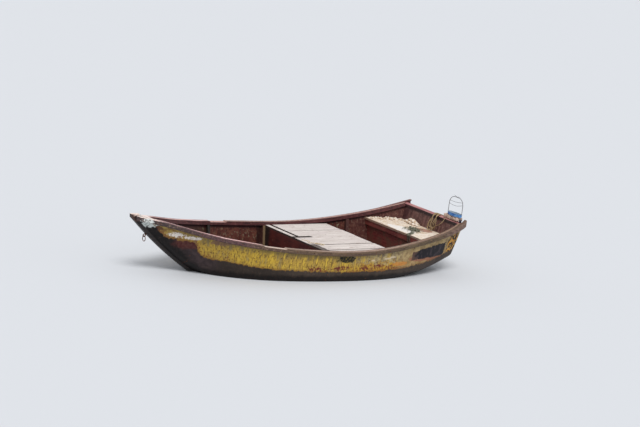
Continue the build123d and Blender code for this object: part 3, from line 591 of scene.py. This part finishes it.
# painted shade at the fore bulkhead's far end, beside the frame
far_corner_shade = times(share(unsigned(plus(x_at, 0.16)), 0.06, 0.05), share(y_at, -0.54, -0.60))
red = over(far_corner_shade, red, tone(36, 20, 18))
locker_red = over(share(cloud, 0.4, 0.6), tone(104, 42, 38), tone(124, 58, 52))
red = over(share(x_at, -1.40, -1.50), red, locker_red)
colour = over(streaks, red, tone(40, 17, 16))
olive = times(frayed(x_at, cloud, 0.1, -1.57, -1.60), share(cloud, 0.46, 0.56))
colour = over(olive, colour, tone(74, 58, 42), 0.6)
colour = over(share(chips, 0.61, 0.65), colour, tone(128, 98, 78), 0.7)
paint(shader, colour, plus(chips, grain), 0.6)
dress([
    "floor_timbers", "bottom_boards",
    "hold_fore_bulkhead", "hold_aft_bulkhead", "hold_beam", "seat_beam", "stern_bulkhead", "seat_cleat",
], inside_finish)

# Side frames: sawn frames nailed against the planks and bolted to the floor timbers, dark with old paint.
# The frame beside the hold's fore bulkhead has a tan, bare edge.
frame_finish, shader, place = new_finish("frame_paint", 0.65)
x_at = parts(place)[0]
grain = speckle(place, (60, 60, 5), detail=8)
chips = speckle(place, (34, 34, 34), detail=8, rough=0.7)
colour = over(share(grain, 0.35, 0.65), tone(60, 34, 30), tone(84, 50, 44))
# frames in the bow are painted near-black: old paint, with painted shade
fore_frames_shade = over(share(grain, 0.4, 0.65), tone(24, 20, 18), tone(44, 38, 30))
colour = over(share(x_at, 0.5, 0.6), colour, fore_frames_shade)
colour = over(share(chips, 0.58, 0.63), colour, tone(118, 98, 76), 0.6)
rubbed_edge = times(share(x_at, -0.1475, -0.1465), frayed(x_at, grain, 0.01, -0.112, -0.117))
colour = over(rubbed_edge, colour, tone(128, 106, 78), 0.85)
paint(shader, colour, plus(chips, grain), 0.6)
dress(["side_frames_port", "side_frames_starboard"], frame_finish)

# Hold boards: loose boards laid fore and aft over the hold, bleached grey-white by sun and salt.
# Their grain stands up, and painted shade darkens the gaps between them, the notch, their side faces and the
# near fore corner.
# A thin strip nailed to the beam closes the fore edge.
board_finish, shader, place = new_finish("bleached_boards", 0.8)
x_at, y_at, _ = parts(place)
grain = speckle(place, (3, 90, 90), detail=9, rough=0.7)
cloud = speckle(place, (3, 7, 5), detail=5)
stain = speckle(place, (9, 22, 10), detail=7)
colour = over(share(grain, 0.38, 0.62), tone(178, 166, 158), tone(224, 214, 207))
colour = over(share(cloud, 0.45, 0.65), colour, tone(196, 182, 178), 0.6)
colour = over(share(grain, 0.59, 0.66), colour, tone(126, 108, 98), 0.65)
colour = over(share(stain, 0.57, 0.67), colour, tone(152, 130, 118), 0.6)
# painted shade in the gaps between the boards
for seam_y, seam_dark in ((-0.371, 0.25), (0.285, 0.85), (0.530, 0.85)):
    seam = frayed(unsigned(minus(y_at, seam_y)), stain, 0.012, 0.014, 0.007)
    colour = over(seam, colour, tone(70, 54, 46), seam_dark)
# painted shade in the notch's gap and along the far board's fore end
past_end = larger(minus(-0.385, x_at), 0.0)
off_notch = plus(y_at, 0.089)
from_notch = reckon("SQRT", plus(times(past_end, past_end), times(off_notch, off_notch)))
notch_along = frayed(from_notch, stain, 0.012, 0.036, 0.028)
lip = times(share(x_at, -0.252, -0.246), share(x_at, -0.21, -0.215))
far_lip = times(share(y_at, -0.075, -0.09), lip)
colour = over(larger(notch_along, far_lip), colour, tone(46, 34, 30))
# painted shadow at the near fore corner, under the strip's overhang
fore_corner_shade_side = frayed(y_at, stain, 0.12, 0.22, 0.30)
fore_corner_shade_front = frayed(x_at, stain, 0.05, -0.240, -0.222)
colour = over(times(fore_corner_shade_side, fore_corner_shade_front), colour, tone(54, 40, 34), 0.85)
# painted shade on the boards' side faces, which turn away from the sky
z_way = facing(shader)[2]
colour = over(share(z_way, 0.6, 0.3), colour, tone(58, 42, 36))
paint(shader, colour, grain, 0.8)
dress(["hold_boards", "hold_strip"], board_finish)

# Stern seat: boards nailed over the stern locker, cream paint flaking to white and brown wood.
# It is rubbed smooth at the fore edge, and down to the wood by the transom.
seat_finish, shader, place = new_finish("seat_paint", 0.75)
x_at, y_at, _ = parts(place)
grain = speckle(place, (3, 80, 80), detail=9, rough=0.7)
flaking = speckle(place, (16, 22, 16), detail=9, rough=0.7)
colour = over(share(flaking, 0.42, 0.58), tone(202, 178, 150), tone(226, 212, 196))
near_side = share(y_at, 0.15, 0.3)
brown_flakes = times(share(flaking, 0.58, 0.63), minus(0.8, times(near_side, 0.6)))
colour = over(brown_flakes, colour, tone(148, 108, 84))
colour = over(near_side, colour, tone(232, 218, 204), 0.4)
worn_lip = frayed(x_at, flaking, 0.03, -1.600, -1.588)
colour = over(worn_lip, colour, tone(112, 78, 62), 0.85)
smooth = patch(place, (-1.69, -0.02, 0.41), (0.09, 0.26, 0.1), ragged=0.7, grain=12)
colour = over(smooth, colour, tone(224, 216, 208))
bare = patch(place, (-1.955, 0.055, 0.41), (0.075, 0.13, 0.1), ragged=0.8, grain=12)
colour = over(bare, colour, over(grain, tone(120, 74, 56), tone(176, 124, 104)), 0.85)
paint(shader, colour, plus(flaking, grain), 0.9)
dress(["stern_seat"], seat_finish)

# Basin: a blue enamelled steel dish, pale and rubbed inside, standing loose on the pad.
# Its bail stands up, bare steel wire gone dark, hooked in an ear at each end.
basin_finish, shader, place = new_finish("basin_enamel", 0.3)
cloud = speckle(place, (12, 12, 12), detail=5)
colour = over(share(cloud, 0.4, 0.62), tone(44, 96, 166), tone(96, 148, 200))
chips = speckle(place, (60, 60, 60), detail=6)
colour = over(share(chips, 0.62, 0.66), colour, tone(30, 34, 44), 0.8)
basin_low, basin_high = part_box("basin")
dish_x, dish_y = ((basin_low[k] + basin_high[k]) / 2 for k in (0, 1))
x_at, y_at, _ = parts(place)
x_way, y_way, z_way = facing(shader)
outward = plus(times(minus(x_at, dish_x), x_way), times(minus(y_at, dish_y), y_way))
in_dish = larger(share(outward, 0.0, -0.004), share(z_way, 0.5, 0.7))
dish_inside = over(share(cloud, 0.4, 0.6), tone(158, 170, 176), tone(196, 200, 198))
colour = over(in_dish, colour, dish_inside, 0.85)
paint(shader, colour, cloud, 0.3)
dress(["basin"], basin_finish)
wire_finish, shader, place = new_finish("bail_wire", 0.45)
shader.inputs["Metallic"].default_value = 0.7
rust = speckle(place, (50, 50, 50), detail=6)
colour = over(share(rust, 0.42, 0.58), tone(38, 38, 42), tone(72, 52, 42))
paint(shader, colour, rust, 0.4)
dress(["bail"], wire_finish)

# Stern knob: a turned plastic knob, black and scuffed.
# It is screwed to the port end of the transom rail.
knob_finish, shader, place = new_finish("knob_black", 0.5)
scuffs = speckle(place, (80, 80, 80), detail=6)
paint(shader, over(share(scuffs, 0.5, 0.65), tone(34, 28, 44), tone(76, 66, 80)), scuffs, 0.3)
dress(["stern_knob"], knob_finish)

# Bow eye and ring: forged iron, rusted through.
# The eye is driven into the stem's face, and the ring hangs loose in it.
iron_finish, shader, place = new_finish("rusty_iron", 0.75)
shader.inputs["Metallic"].default_value = 0.4
rust = speckle(place, (70, 70, 70), detail=8)
paint(shader, over(share(rust, 0.4, 0.6), tone(52, 36, 30), tone(118, 70, 44)), rust, 0.8)
dress(["bow_eye", "bow_ring"], iron_finish)

# Stern pad: a flat pad of tan cloth, sun-faded, lying loose on the transom rail under the basin.
# Its filling rounds the sides, which are crumpled, and the basin keeps the middle flat.
pad_low, pad_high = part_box("stern_pad")
pad_centre = tuple((a + b) / 2 for a, b in zip(pad_low, pad_high))
pad_size = tuple(b - a for a, b in zip(pad_low, pad_high))
PAD_SWELL = 0.007
PAD_BEVEL = 0.008
PAD_VOXEL = 0.005
PAD_PRESSURE = 4
CLOTH_STEPS = 20
CREASES = (18, 26, 12)
CREASE_DEPTH = 0.009
UNDER_DISH = 0.14
pad_core = [length - 2 * PAD_SWELL for length in pad_size]
bpy.ops.object.select_all(action="DESELECT")
bpy.ops.mesh.primitive_cube_add(size=1, location=pad_centre, scale=pad_core)
pad = bpy.context.object
pad.name = "pad_cloth"
bpy.ops.object.transform_apply(location=True, rotation=True, scale=True)
bpy.ops.object.mode_set(mode="EDIT")
bpy.ops.mesh.select_all(action="SELECT")
bpy.ops.mesh.bevel(offset=PAD_BEVEL, segments=2)
bpy.ops.object.mode_set(mode="OBJECT")
pad.data.remesh_voxel_size = PAD_VOXEL
bpy.ops.object.voxel_remesh()
before = [vertex.co.copy() for vertex in pad.data.vertices]
cloth = pad.modifiers.new("filling", "CLOTH")
cloth.settings.use_pressure = True
cloth.settings.uniform_pressure_force = PAD_PRESSURE
cloth.settings.effector_weights.gravity = 0
for step in range(1, CLOTH_STEPS + 1):
    bpy.context.scene.frame_set(step)
bpy.ops.object.modifier_apply(modifier=cloth.name)
bpy.context.scene.frame_set(1)
for vertex, start in zip(pad.data.vertices, before):
    move = vertex.co - start
    vertex.co = start + move * min(1, PAD_SWELL / max(move.length, 1e-6))
for vertex in pad.data.vertices:
    crease_place = Vector(vertex.co[k] * CREASES[k] for k in range(3))
    crumple = noise.noise(crease_place) + 0.5 * noise.noise(2.3 * crease_place)
    away = Vector((vertex.co.x - pad_centre[0], 0, 0.6 * (vertex.co.z - pad_centre[2])))
    if away.length > 1e-6:
        vertex.co += away.normalized() * CREASE_DEPTH * crumple
    vertex.co.z = max(vertex.co.z, pad_low[2])
    if abs(vertex.co.y - dish_y) < UNDER_DISH:
        vertex.co.z = min(vertex.co.z, pad_high[2] - 0.001)
finer = pad.modifiers.new("finer", "SUBSURF")
finer.levels = finer.render_levels = 1
bpy.ops.object.modifier_apply(modifier=finer.name)
bpy.ops.object.shade_smooth()
pad_finish, shader, place = new_finish("pad_cloth", 0.9)
weave = add_step("ShaderNodeTexWave", {"Vector": place, "Scale": 160.0, "Distortion": 1.5, "Detail": 2.0})
cloud = speckle(place, (14, 14, 14), detail=6)
colour = over(share(cloud, 0.4, 0.6), tone(158, 132, 116), tone(204, 180, 164))
paint(shader, colour, plus(weave.outputs[1], cloud), 0.4, 0.001)
pad.data.materials.append(pad_finish)
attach(pad, "root")
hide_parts("stern_pad")

# Rope hank: eight-millimetre rope in five long turns, thrown over the transom rail.
# The turns hang down inboard to the seat and a short way outboard, and the end goes under the pad.
ROPE = 0.008
RAIL_TOP = 0.616
OVER_RAIL = RAIL_TOP + 0.0075
Turn = collections.namedtuple("Turn", "left_y right_y drop")
TURNS = (
    Turn(0.012, 0.104, 0.444),
    Turn(0.046, 0.148, 0.426),
    Turn(-0.002, 0.078, 0.420),
    Turn(0.076, 0.168, 0.452),
    Turn(0.030, 0.122, 0.417),
)
FIRST_OVER = 0.052
STRAND_STEP = 0.0098
FIRST_INNER_X, INNER_STEP = -2.076, 0.0074
FIRST_OUTER_X, OUTER_STEP = -2.152, -0.0058
INNER_EDGE_X, OUTER_EDGE_X = -2.093, -2.135
INNER_SIDE_Z, OUTER_SIDE_Z = 0.603, 0.606
FOOT_OUT = 0.022
OUTBOARD_FOLD = 0.052
OUTBOARD_FOOT = 0.570
EIGHTH = 0.2929
ROPE_LENGTH = 3.42
LAY_PITCH = 0.011


def fold(x, y_from, y_to, bottom):
    """A fold at the foot of a turn, as wide as its two strands are apart."""
    reach = EIGHTH * (y_to - y_from)
    return [
        (x, y_from, bottom + abs(reach)), (x, y_from + reach, bottom),
        (x, y_to - reach, bottom), (x, y_to, bottom + abs(reach)),
    ]


def over_rail(y, inner_x, outer_x):
    """A strand's way over the transom rail, from inboard to outboard."""
    return [
        (inner_x, y, INNER_SIDE_Z), (INNER_EDGE_X, y, OVER_RAIL),
        (OUTER_EDGE_X, y, OVER_RAIL), (outer_x, y, OUTER_SIDE_Z),
    ]


def hang(inner_x, over_y, foot_y):
    """A strand's way down from the rail, spreading towards its foot."""
    return [
        (inner_x + 0.004, 0.85 * over_y + 0.15 * foot_y, 0.572),
        (inner_x + 0.010, 0.4 * over_y + 0.6 * foot_y, 0.530),
    ]


route = [(-2.139, FIRST_OVER, RAIL_TOP + 0.0045), (-2.117, FIRST_OVER, RAIL_TOP + 0.0055)]
for layer, turn in enumerate(TURNS):
    over_y = FIRST_OVER + STRAND_STEP * layer
    outer_x = FIRST_OUTER_X + OUTER_STEP * layer
    inner_x = FIRST_INNER_X + INNER_STEP * layer
    route += over_rail(over_y, inner_x, outer_x)[1::-1]
    route += hang(inner_x, over_y, turn.left_y)
    route += fold(inner_x + FOOT_OUT, turn.left_y, turn.right_y, turn.drop)
    if layer < len(TURNS) - 1:
        next_y = over_y + STRAND_STEP
        back_y = next_y + OUTBOARD_FOLD
        route += hang(inner_x, back_y, turn.right_y)[::-1]
        route += over_rail(back_y, inner_x, outer_x)
        route += fold(outer_x - 0.001, back_y, next_y, OUTBOARD_FOOT)
        route += over_rail(next_y, inner_x, outer_x)[:1:-1]
route += [
    (-2.034, 0.140, 0.474), (-2.046, 0.176, 0.494), (-2.060, 0.212, 0.520),
    (-2.072, 0.243, 0.553), (-2.0785, 0.262, 0.586), (-2.0815, 0.272, 0.612),
]
rope_curve = bpy.data.curves.new("rope", "CURVE")
rope_curve.dimensions = "3D"
rope_curve.bevel_depth = ROPE / 2
rope_curve.bevel_resolution = 3
rope_curve.resolution_u = 8
spline = rope_curve.splines.new("NURBS")
spline.points.add(len(route) - 1)
for point, spot in zip(spline.points, route):
    point.co = (*spot, 1)
spline.order_u = 3
spline.use_endpoint_u = True
rope = bpy.data.objects.new("rope", rope_curve)
bpy.context.collection.objects.link(rope)
rope_finish, shader, place = new_finish("rope_fibre", 0.9)
along_rope, round_rope, _ = parts(place.node.outputs["UV"])
lay_turn = plus(times(along_rope, ROPE_LENGTH / LAY_PITCH * math.tau), times(round_rope, math.tau))
lay = plus(times(reckon("SINE", lay_turn), 0.5), 0.5)
cloud = speckle(place, (10, 10, 10), detail=6)
colour = over(share(cloud, 0.38, 0.6), tone(132, 107, 74), tone(194, 168, 128))
# painted shade in the grooves between the rope's strands
colour = over(share(lay, 0.4, 0.0), colour, tone(60, 48, 32), 0.6)
paint(shader, colour, lay, 0.8)
rope_curve.materials.append(rope_finish)
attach(rope, "root")
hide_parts("rope_hank")

# Nails and rivets: the planks are nailed to each frame, and the rails, boards and seat are nailed down.
# The heads are rusty iron, a little proud of the wood, each driven along the face's own direction.
HANDS = (("port", 1), ("starboard", -1))
NAILED_FRAMES = (1.400, 0.752, -0.128, -0.66, -1.330)
NAIL_SHARES = (0.30, 0.72)
OFF_FRAME_MIDDLE = 0.012
PLANK_HEIGHTS = [step / 100 for step in range(-14, 62)]
RIVET_PLACES = [-1.98 + 0.21 * step for step in range(19)]
RAIL_HEIGHTS = [step / 200 for step in range(50, 130)]
BOARD_NAIL_ROWS = (-0.262, -0.66, -0.985)
BOARD_NAIL_LINES = (-0.60, -0.44, -0.30, -0.16, -0.02, 0.21, 0.33, 0.48, 0.60)
SEAT_NAIL_ROWS = (-1.615, -1.86)
SEAT_NAIL_LINES = (-0.58, -0.32, -0.05, 0.22, 0.50)


def join(name, copies, finish):
    """Loose copies made one piece of this finish, that rides on the hull."""
    bpy.ops.object.select_all(action="DESELECT")
    for copy in copies:
        copy.select_set(True)
    bpy.context.view_layer.objects.active = copies[0]
    bpy.ops.object.join()
    piece = bpy.context.object
    piece.name = name
    piece.data.materials.append(finish)
    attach(piece, "root")


def drive(name, heads, radius, stand):
    """Nail heads at these places, as one piece."""
    bpy.ops.object.select_all(action="DESELECT")
    bpy.ops.mesh.primitive_cylinder_add(vertices=10, radius=radius, depth=2 * stand)
    model = bpy.context.object
    bpy.ops.object.mode_set(mode="EDIT")
    bpy.ops.mesh.select_all(action="SELECT")
    bpy.ops.mesh.bevel(offset=0.45 * stand, segments=1)
    bpy.ops.object.mode_set(mode="OBJECT")
    copies = []
    for head in heads:
        copy = model.copy()
        copy.data = model.data.copy()
        turn_to = head.facing.to_track_quat("Z", "Y").to_matrix().to_4x4()
        copy.data.transform(Matrix.Translation(head.spot) @ turn_to)
        bpy.context.collection.objects.link(copy)
        copies.append(copy)
    bpy.data.objects.remove(model)
    join(name, copies, iron_finish)


def side_on(node, x, sign, heights):
    """Where level lines from this side meet a piece, from low to high."""
    met = [struck(node, (x, sign, z), (0, -sign, 0)) for z in heights]
    return [head for head in met if head]


plank_heads = []
for frame_x in NAILED_FRAMES:
    for strake in STRAKES:
        for hand, sign in HANDS:
            for part in NAIL_SHARES:
                x = frame_x + OFF_FRAME_MIDDLE * (part - 0.5)
                met = side_on(f"{strake}_{hand}", x, sign, PLANK_HEIGHTS)
                met = [head for head in met if head.facing.y * sign > 0.15]
                if met:
                    plank_heads.append(met[int(part * (len(met) - 1))])
drive("plank_nails", plank_heads, radius=0.0055, stand=0.0012)
rail_heads = []
for x in RIVET_PLACES:
    for hand, sign in HANDS:
        met = side_on(f"rail_{hand}", x, sign, RAIL_HEIGHTS)
        met = [head for head in met if abs(head.facing.z) < 0.4]
        if met:
            rail_heads.append(met[len(met) // 2])
drive("rail_rivets", rail_heads, radius=0.006, stand=0.0015)
board_heads = [
    struck("hold_boards", (x, y, 1), (0, 0, -1)) for y in BOARD_NAIL_LINES for x in BOARD_NAIL_ROWS
]
board_heads += [
    struck("stern_seat", (x, y, 1), (0, 0, -1)) for y in SEAT_NAIL_LINES for x in SEAT_NAIL_ROWS
]
drive("board_nails", [head for head in board_heads if head], radius=0.005, stand=0.0010)

# Basin's rim and wires: the enamelled edge is rolled over a wire.
# Two thin wires cross between the bail's legs, and a twist of the same wire sits on top to hang it by.
RIM_WIRE = 0.005
RIM_STEPS = 48
RIM_HALF = (0.0392, 0.1242)
CROSS_WIRE = 0.0036
bail_low, bail_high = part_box("bail")
bail_x, bail_y = ((bail_low[k] + bail_high[k]) / 2 for k in (0, 1))
leg_y = (bail_low[1] + 0.003, bail_high[1] - 0.003)


def wire(name, lines, thickness, finish):
    """Thin round wires along these lines, closed where a line ends at its start, as one piece."""
    wire_curve = bpy.data.curves.new(name, "CURVE")
    wire_curve.dimensions = "3D"
    wire_curve.bevel_depth = thickness / 2
    wire_curve.bevel_resolution = 2
    for line in lines:
        closed = line[0] == line[-1]
        spots = line[:-1] if closed else line
        spline = wire_curve.splines.new("POLY" if closed else "NURBS")
        spline.points.add(len(spots) - 1)
        for point, spot in zip(spline.points, spots):
            point.co = (*spot, 1)
        if closed:
            spline.use_cyclic_u = True
        else:
            spline.order_u = 3
            spline.use_endpoint_u = True
    piece = bpy.data.objects.new(name, wire_curve)
    bpy.context.collection.objects.link(piece)
    bpy.ops.object.select_all(action="DESELECT")
    piece.select_set(True)
    bpy.context.view_layer.objects.active = piece
    bpy.ops.object.convert(target="MESH")
    piece = bpy.context.object
    bpy.ops.object.shade_smooth()
    piece.data.materials.append(finish)
    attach(piece, "root")


rim_turns = [k / RIM_STEPS * math.tau for k in range(RIM_STEPS)]
rim_line = [
    (bail_x + RIM_HALF[0] * math.cos(turn), bail_y + RIM_HALF[1] * math.sin(turn), basin_high[2])
    for turn in rim_turns
]
wire("basin_rim", [rim_line + rim_line[:1]], RIM_WIRE, basin_finish)
lower_wire = [
    (bail_x, leg_y[0], 0.800), (bail_x + 0.004, bail_y - 0.03, 0.786),
    (bail_x, bail_y + 0.06, 0.800), (bail_x, leg_y[1], 0.822),
]
upper_wire = [
    (bail_x, leg_y[0] + 0.004, 0.838), (bail_x - 0.004, bail_y, 0.826), (bail_x, leg_y[1] - 0.004, 0.856),
]
twist = [
    (bail_x - 0.004, bail_y - 0.055, 0.912), (bail_x + 0.003, bail_y - 0.02, 0.906),
    (bail_x + 0.004, bail_y + 0.02, 0.902), (bail_x - 0.004, bail_y + 0.05, 0.908),
]
wire("bail_wires", [lower_wire, upper_wire, twist], CROSS_WIRE, wire_finish)

# Litter on the seat and boards: flakes of the seat's own paint and wood, a dry tuft of weed and straw.
# It lies loose, most flakes along the far side and by the transom.
random.seed(7)
SIDE_FLAKES, HEAP_FLAKES, STRAY_FLAKES = 70, 64, 40
WEED_STALKS, HANGING_STALKS = 90, 7
WEED_STALK = 0.0045
STRAW = 0.005
SEAT_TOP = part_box("stern_seat")[1][2]
SEAT_EDGE_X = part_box("stern_seat")[1][0] + 0.004
BOARD_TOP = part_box("hold_boards")[1][2] + 0.002


def scatter(name, spots, finish):
    """Small rough lumps, each squashed and turned its own way, as one piece."""
    lumps = []
    for x, y, foot_z, size in spots:
        bpy.ops.object.select_all(action="DESELECT")
        bpy.ops.mesh.primitive_ico_sphere_add(subdivisions=2, radius=1)
        lump = bpy.context.object
        shape = Vector((random.uniform(0.7, 1.2), random.uniform(0.7, 1.2), random.uniform(0.35, 0.7)))
        for vertex in lump.data.vertices:
            vertex.co *= random.uniform(0.82, 1.15)
            vertex.co = Vector(a * b * size for a, b in zip(vertex.co, shape))
        spin = Matrix.Rotation(random.uniform(0, math.tau), 4, "Z")
        tip = Matrix.Rotation(random.uniform(-0.4, 0.4), 4, "X")
        lump.data.transform(Matrix.Translation((x, y, foot_z + 0.45 * size * shape.z)) @ spin @ tip)
        lumps.append(lump)
    join(name, lumps, finish)
    bpy.ops.object.shade_smooth()


flake_finish, shader, place = new_finish("paint_flakes", 0.85)
cloud = speckle(place, (30, 30, 30), detail=7)
colour = over(share(cloud, 0.40, 0.60), tone(186, 160, 134), tone(226, 214, 200))
paint(shader, colour, cloud, 0.7)
flake_spots = []
for k in range(SIDE_FLAKES):
    along = random.random()
    off_side = 0.07 * random.random() ** 2
    flake_spots.append((
        -1.60 - 0.42 * along, -0.615 + 0.085 * along + off_side, SEAT_TOP, random.uniform(0.009, 0.026),
    ))
for k in range(HEAP_FLAKES):
    out = random.random() ** 0.5
    way = random.uniform(0, math.tau)
    flake_spots.append((
        -2.015 + 0.034 * out * math.cos(way), -0.25 + 0.13 * out * math.sin(way),
        SEAT_TOP + 0.062 * (1 - out), random.uniform(0.014, 0.030),
    ))
for k in range(STRAY_FLAKES):
    x, y = random.uniform(-2.0, -1.62), random.uniform(-0.5, 0.5)
    flake_spots.append((x, y, SEAT_TOP, random.uniform(0.003, 0.007)))
scatter("seat_flakes", flake_spots, flake_finish)
weed_finish, shader, place = new_finish("dry_weed", 0.9)
cloud = speckle(place, (40, 40, 40), detail=6)
colour = over(share(cloud, 0.40, 0.60), tone(74, 76, 62), tone(142, 138, 120))
over_edge = share(parts(place)[2], SEAT_TOP - 0.001, SEAT_TOP - 0.015)
colour = over(over_edge, colour, tone(48, 38, 32), 0.8)
paint(shader, colour, cloud, 0.8)
weed_lines = []
for k in range(WEED_STALKS):
    x, y = random.gauss(-1.815, 0.026), random.gauss(0.050, 0.036)
    way = random.gauss(0.9, 0.8)
    reach = random.uniform(0.03, 0.075)
    line = []
    for step in range(5):
        height = 0.004 + 0.045 * math.sin(step / 4 * math.pi) * random.random()
        line.append((x, y, SEAT_TOP + height))
        x, y = x + reach / 4 * math.cos(way), y + reach / 4 * math.sin(way)
        way += random.uniform(-0.8, 0.8)
    weed_lines.append(line)
for k in range(HANGING_STALKS):
    y = 0.215 + 0.009 * k
    weed_lines.append([
        (-1.75, y - 0.13, SEAT_TOP + 0.010), (-1.69, y - 0.06, SEAT_TOP + 0.006),
        (-1.63, y - 0.02, SEAT_TOP + 0.007), (SEAT_EDGE_X - 0.002, y, SEAT_TOP + 0.006),
        (SEAT_EDGE_X + 0.003, y + 0.01, SEAT_TOP - 0.012),
        (SEAT_EDGE_X + 0.002, y + 0.03, SEAT_TOP - random.uniform(0.04, 0.09)),
    ])
wire("weed_tuft", weed_lines, WEED_STALK, weed_finish)
straw_finish, shader, place = new_finish("straw", 0.8)
cloud = speckle(place, (50, 50, 50), detail=5)
paint(shader, over(share(cloud, 0.4, 0.6), tone(176, 150, 106), tone(214, 194, 152)), cloud, 0.5)
straw_lines = [
    [
        (-0.330, 0.300, BOARD_TOP), (-0.262, 0.262, BOARD_TOP + 0.012),
        (-0.232, 0.243, BOARD_TOP + 0.006), (-0.160, 0.190, BOARD_TOP + 0.004),
    ],
    [(-0.235, 0.130, BOARD_TOP), (-0.180, 0.098, BOARD_TOP + 0.014), (-0.150, 0.080, BOARD_TOP + 0.004)],
    [(-0.240, 0.232, BOARD_TOP), (-0.250, 0.280, BOARD_TOP + 0.010), (-0.300, 0.330, BOARD_TOP)],
]
wire("straw", straw_lines, STRAW, straw_finish)
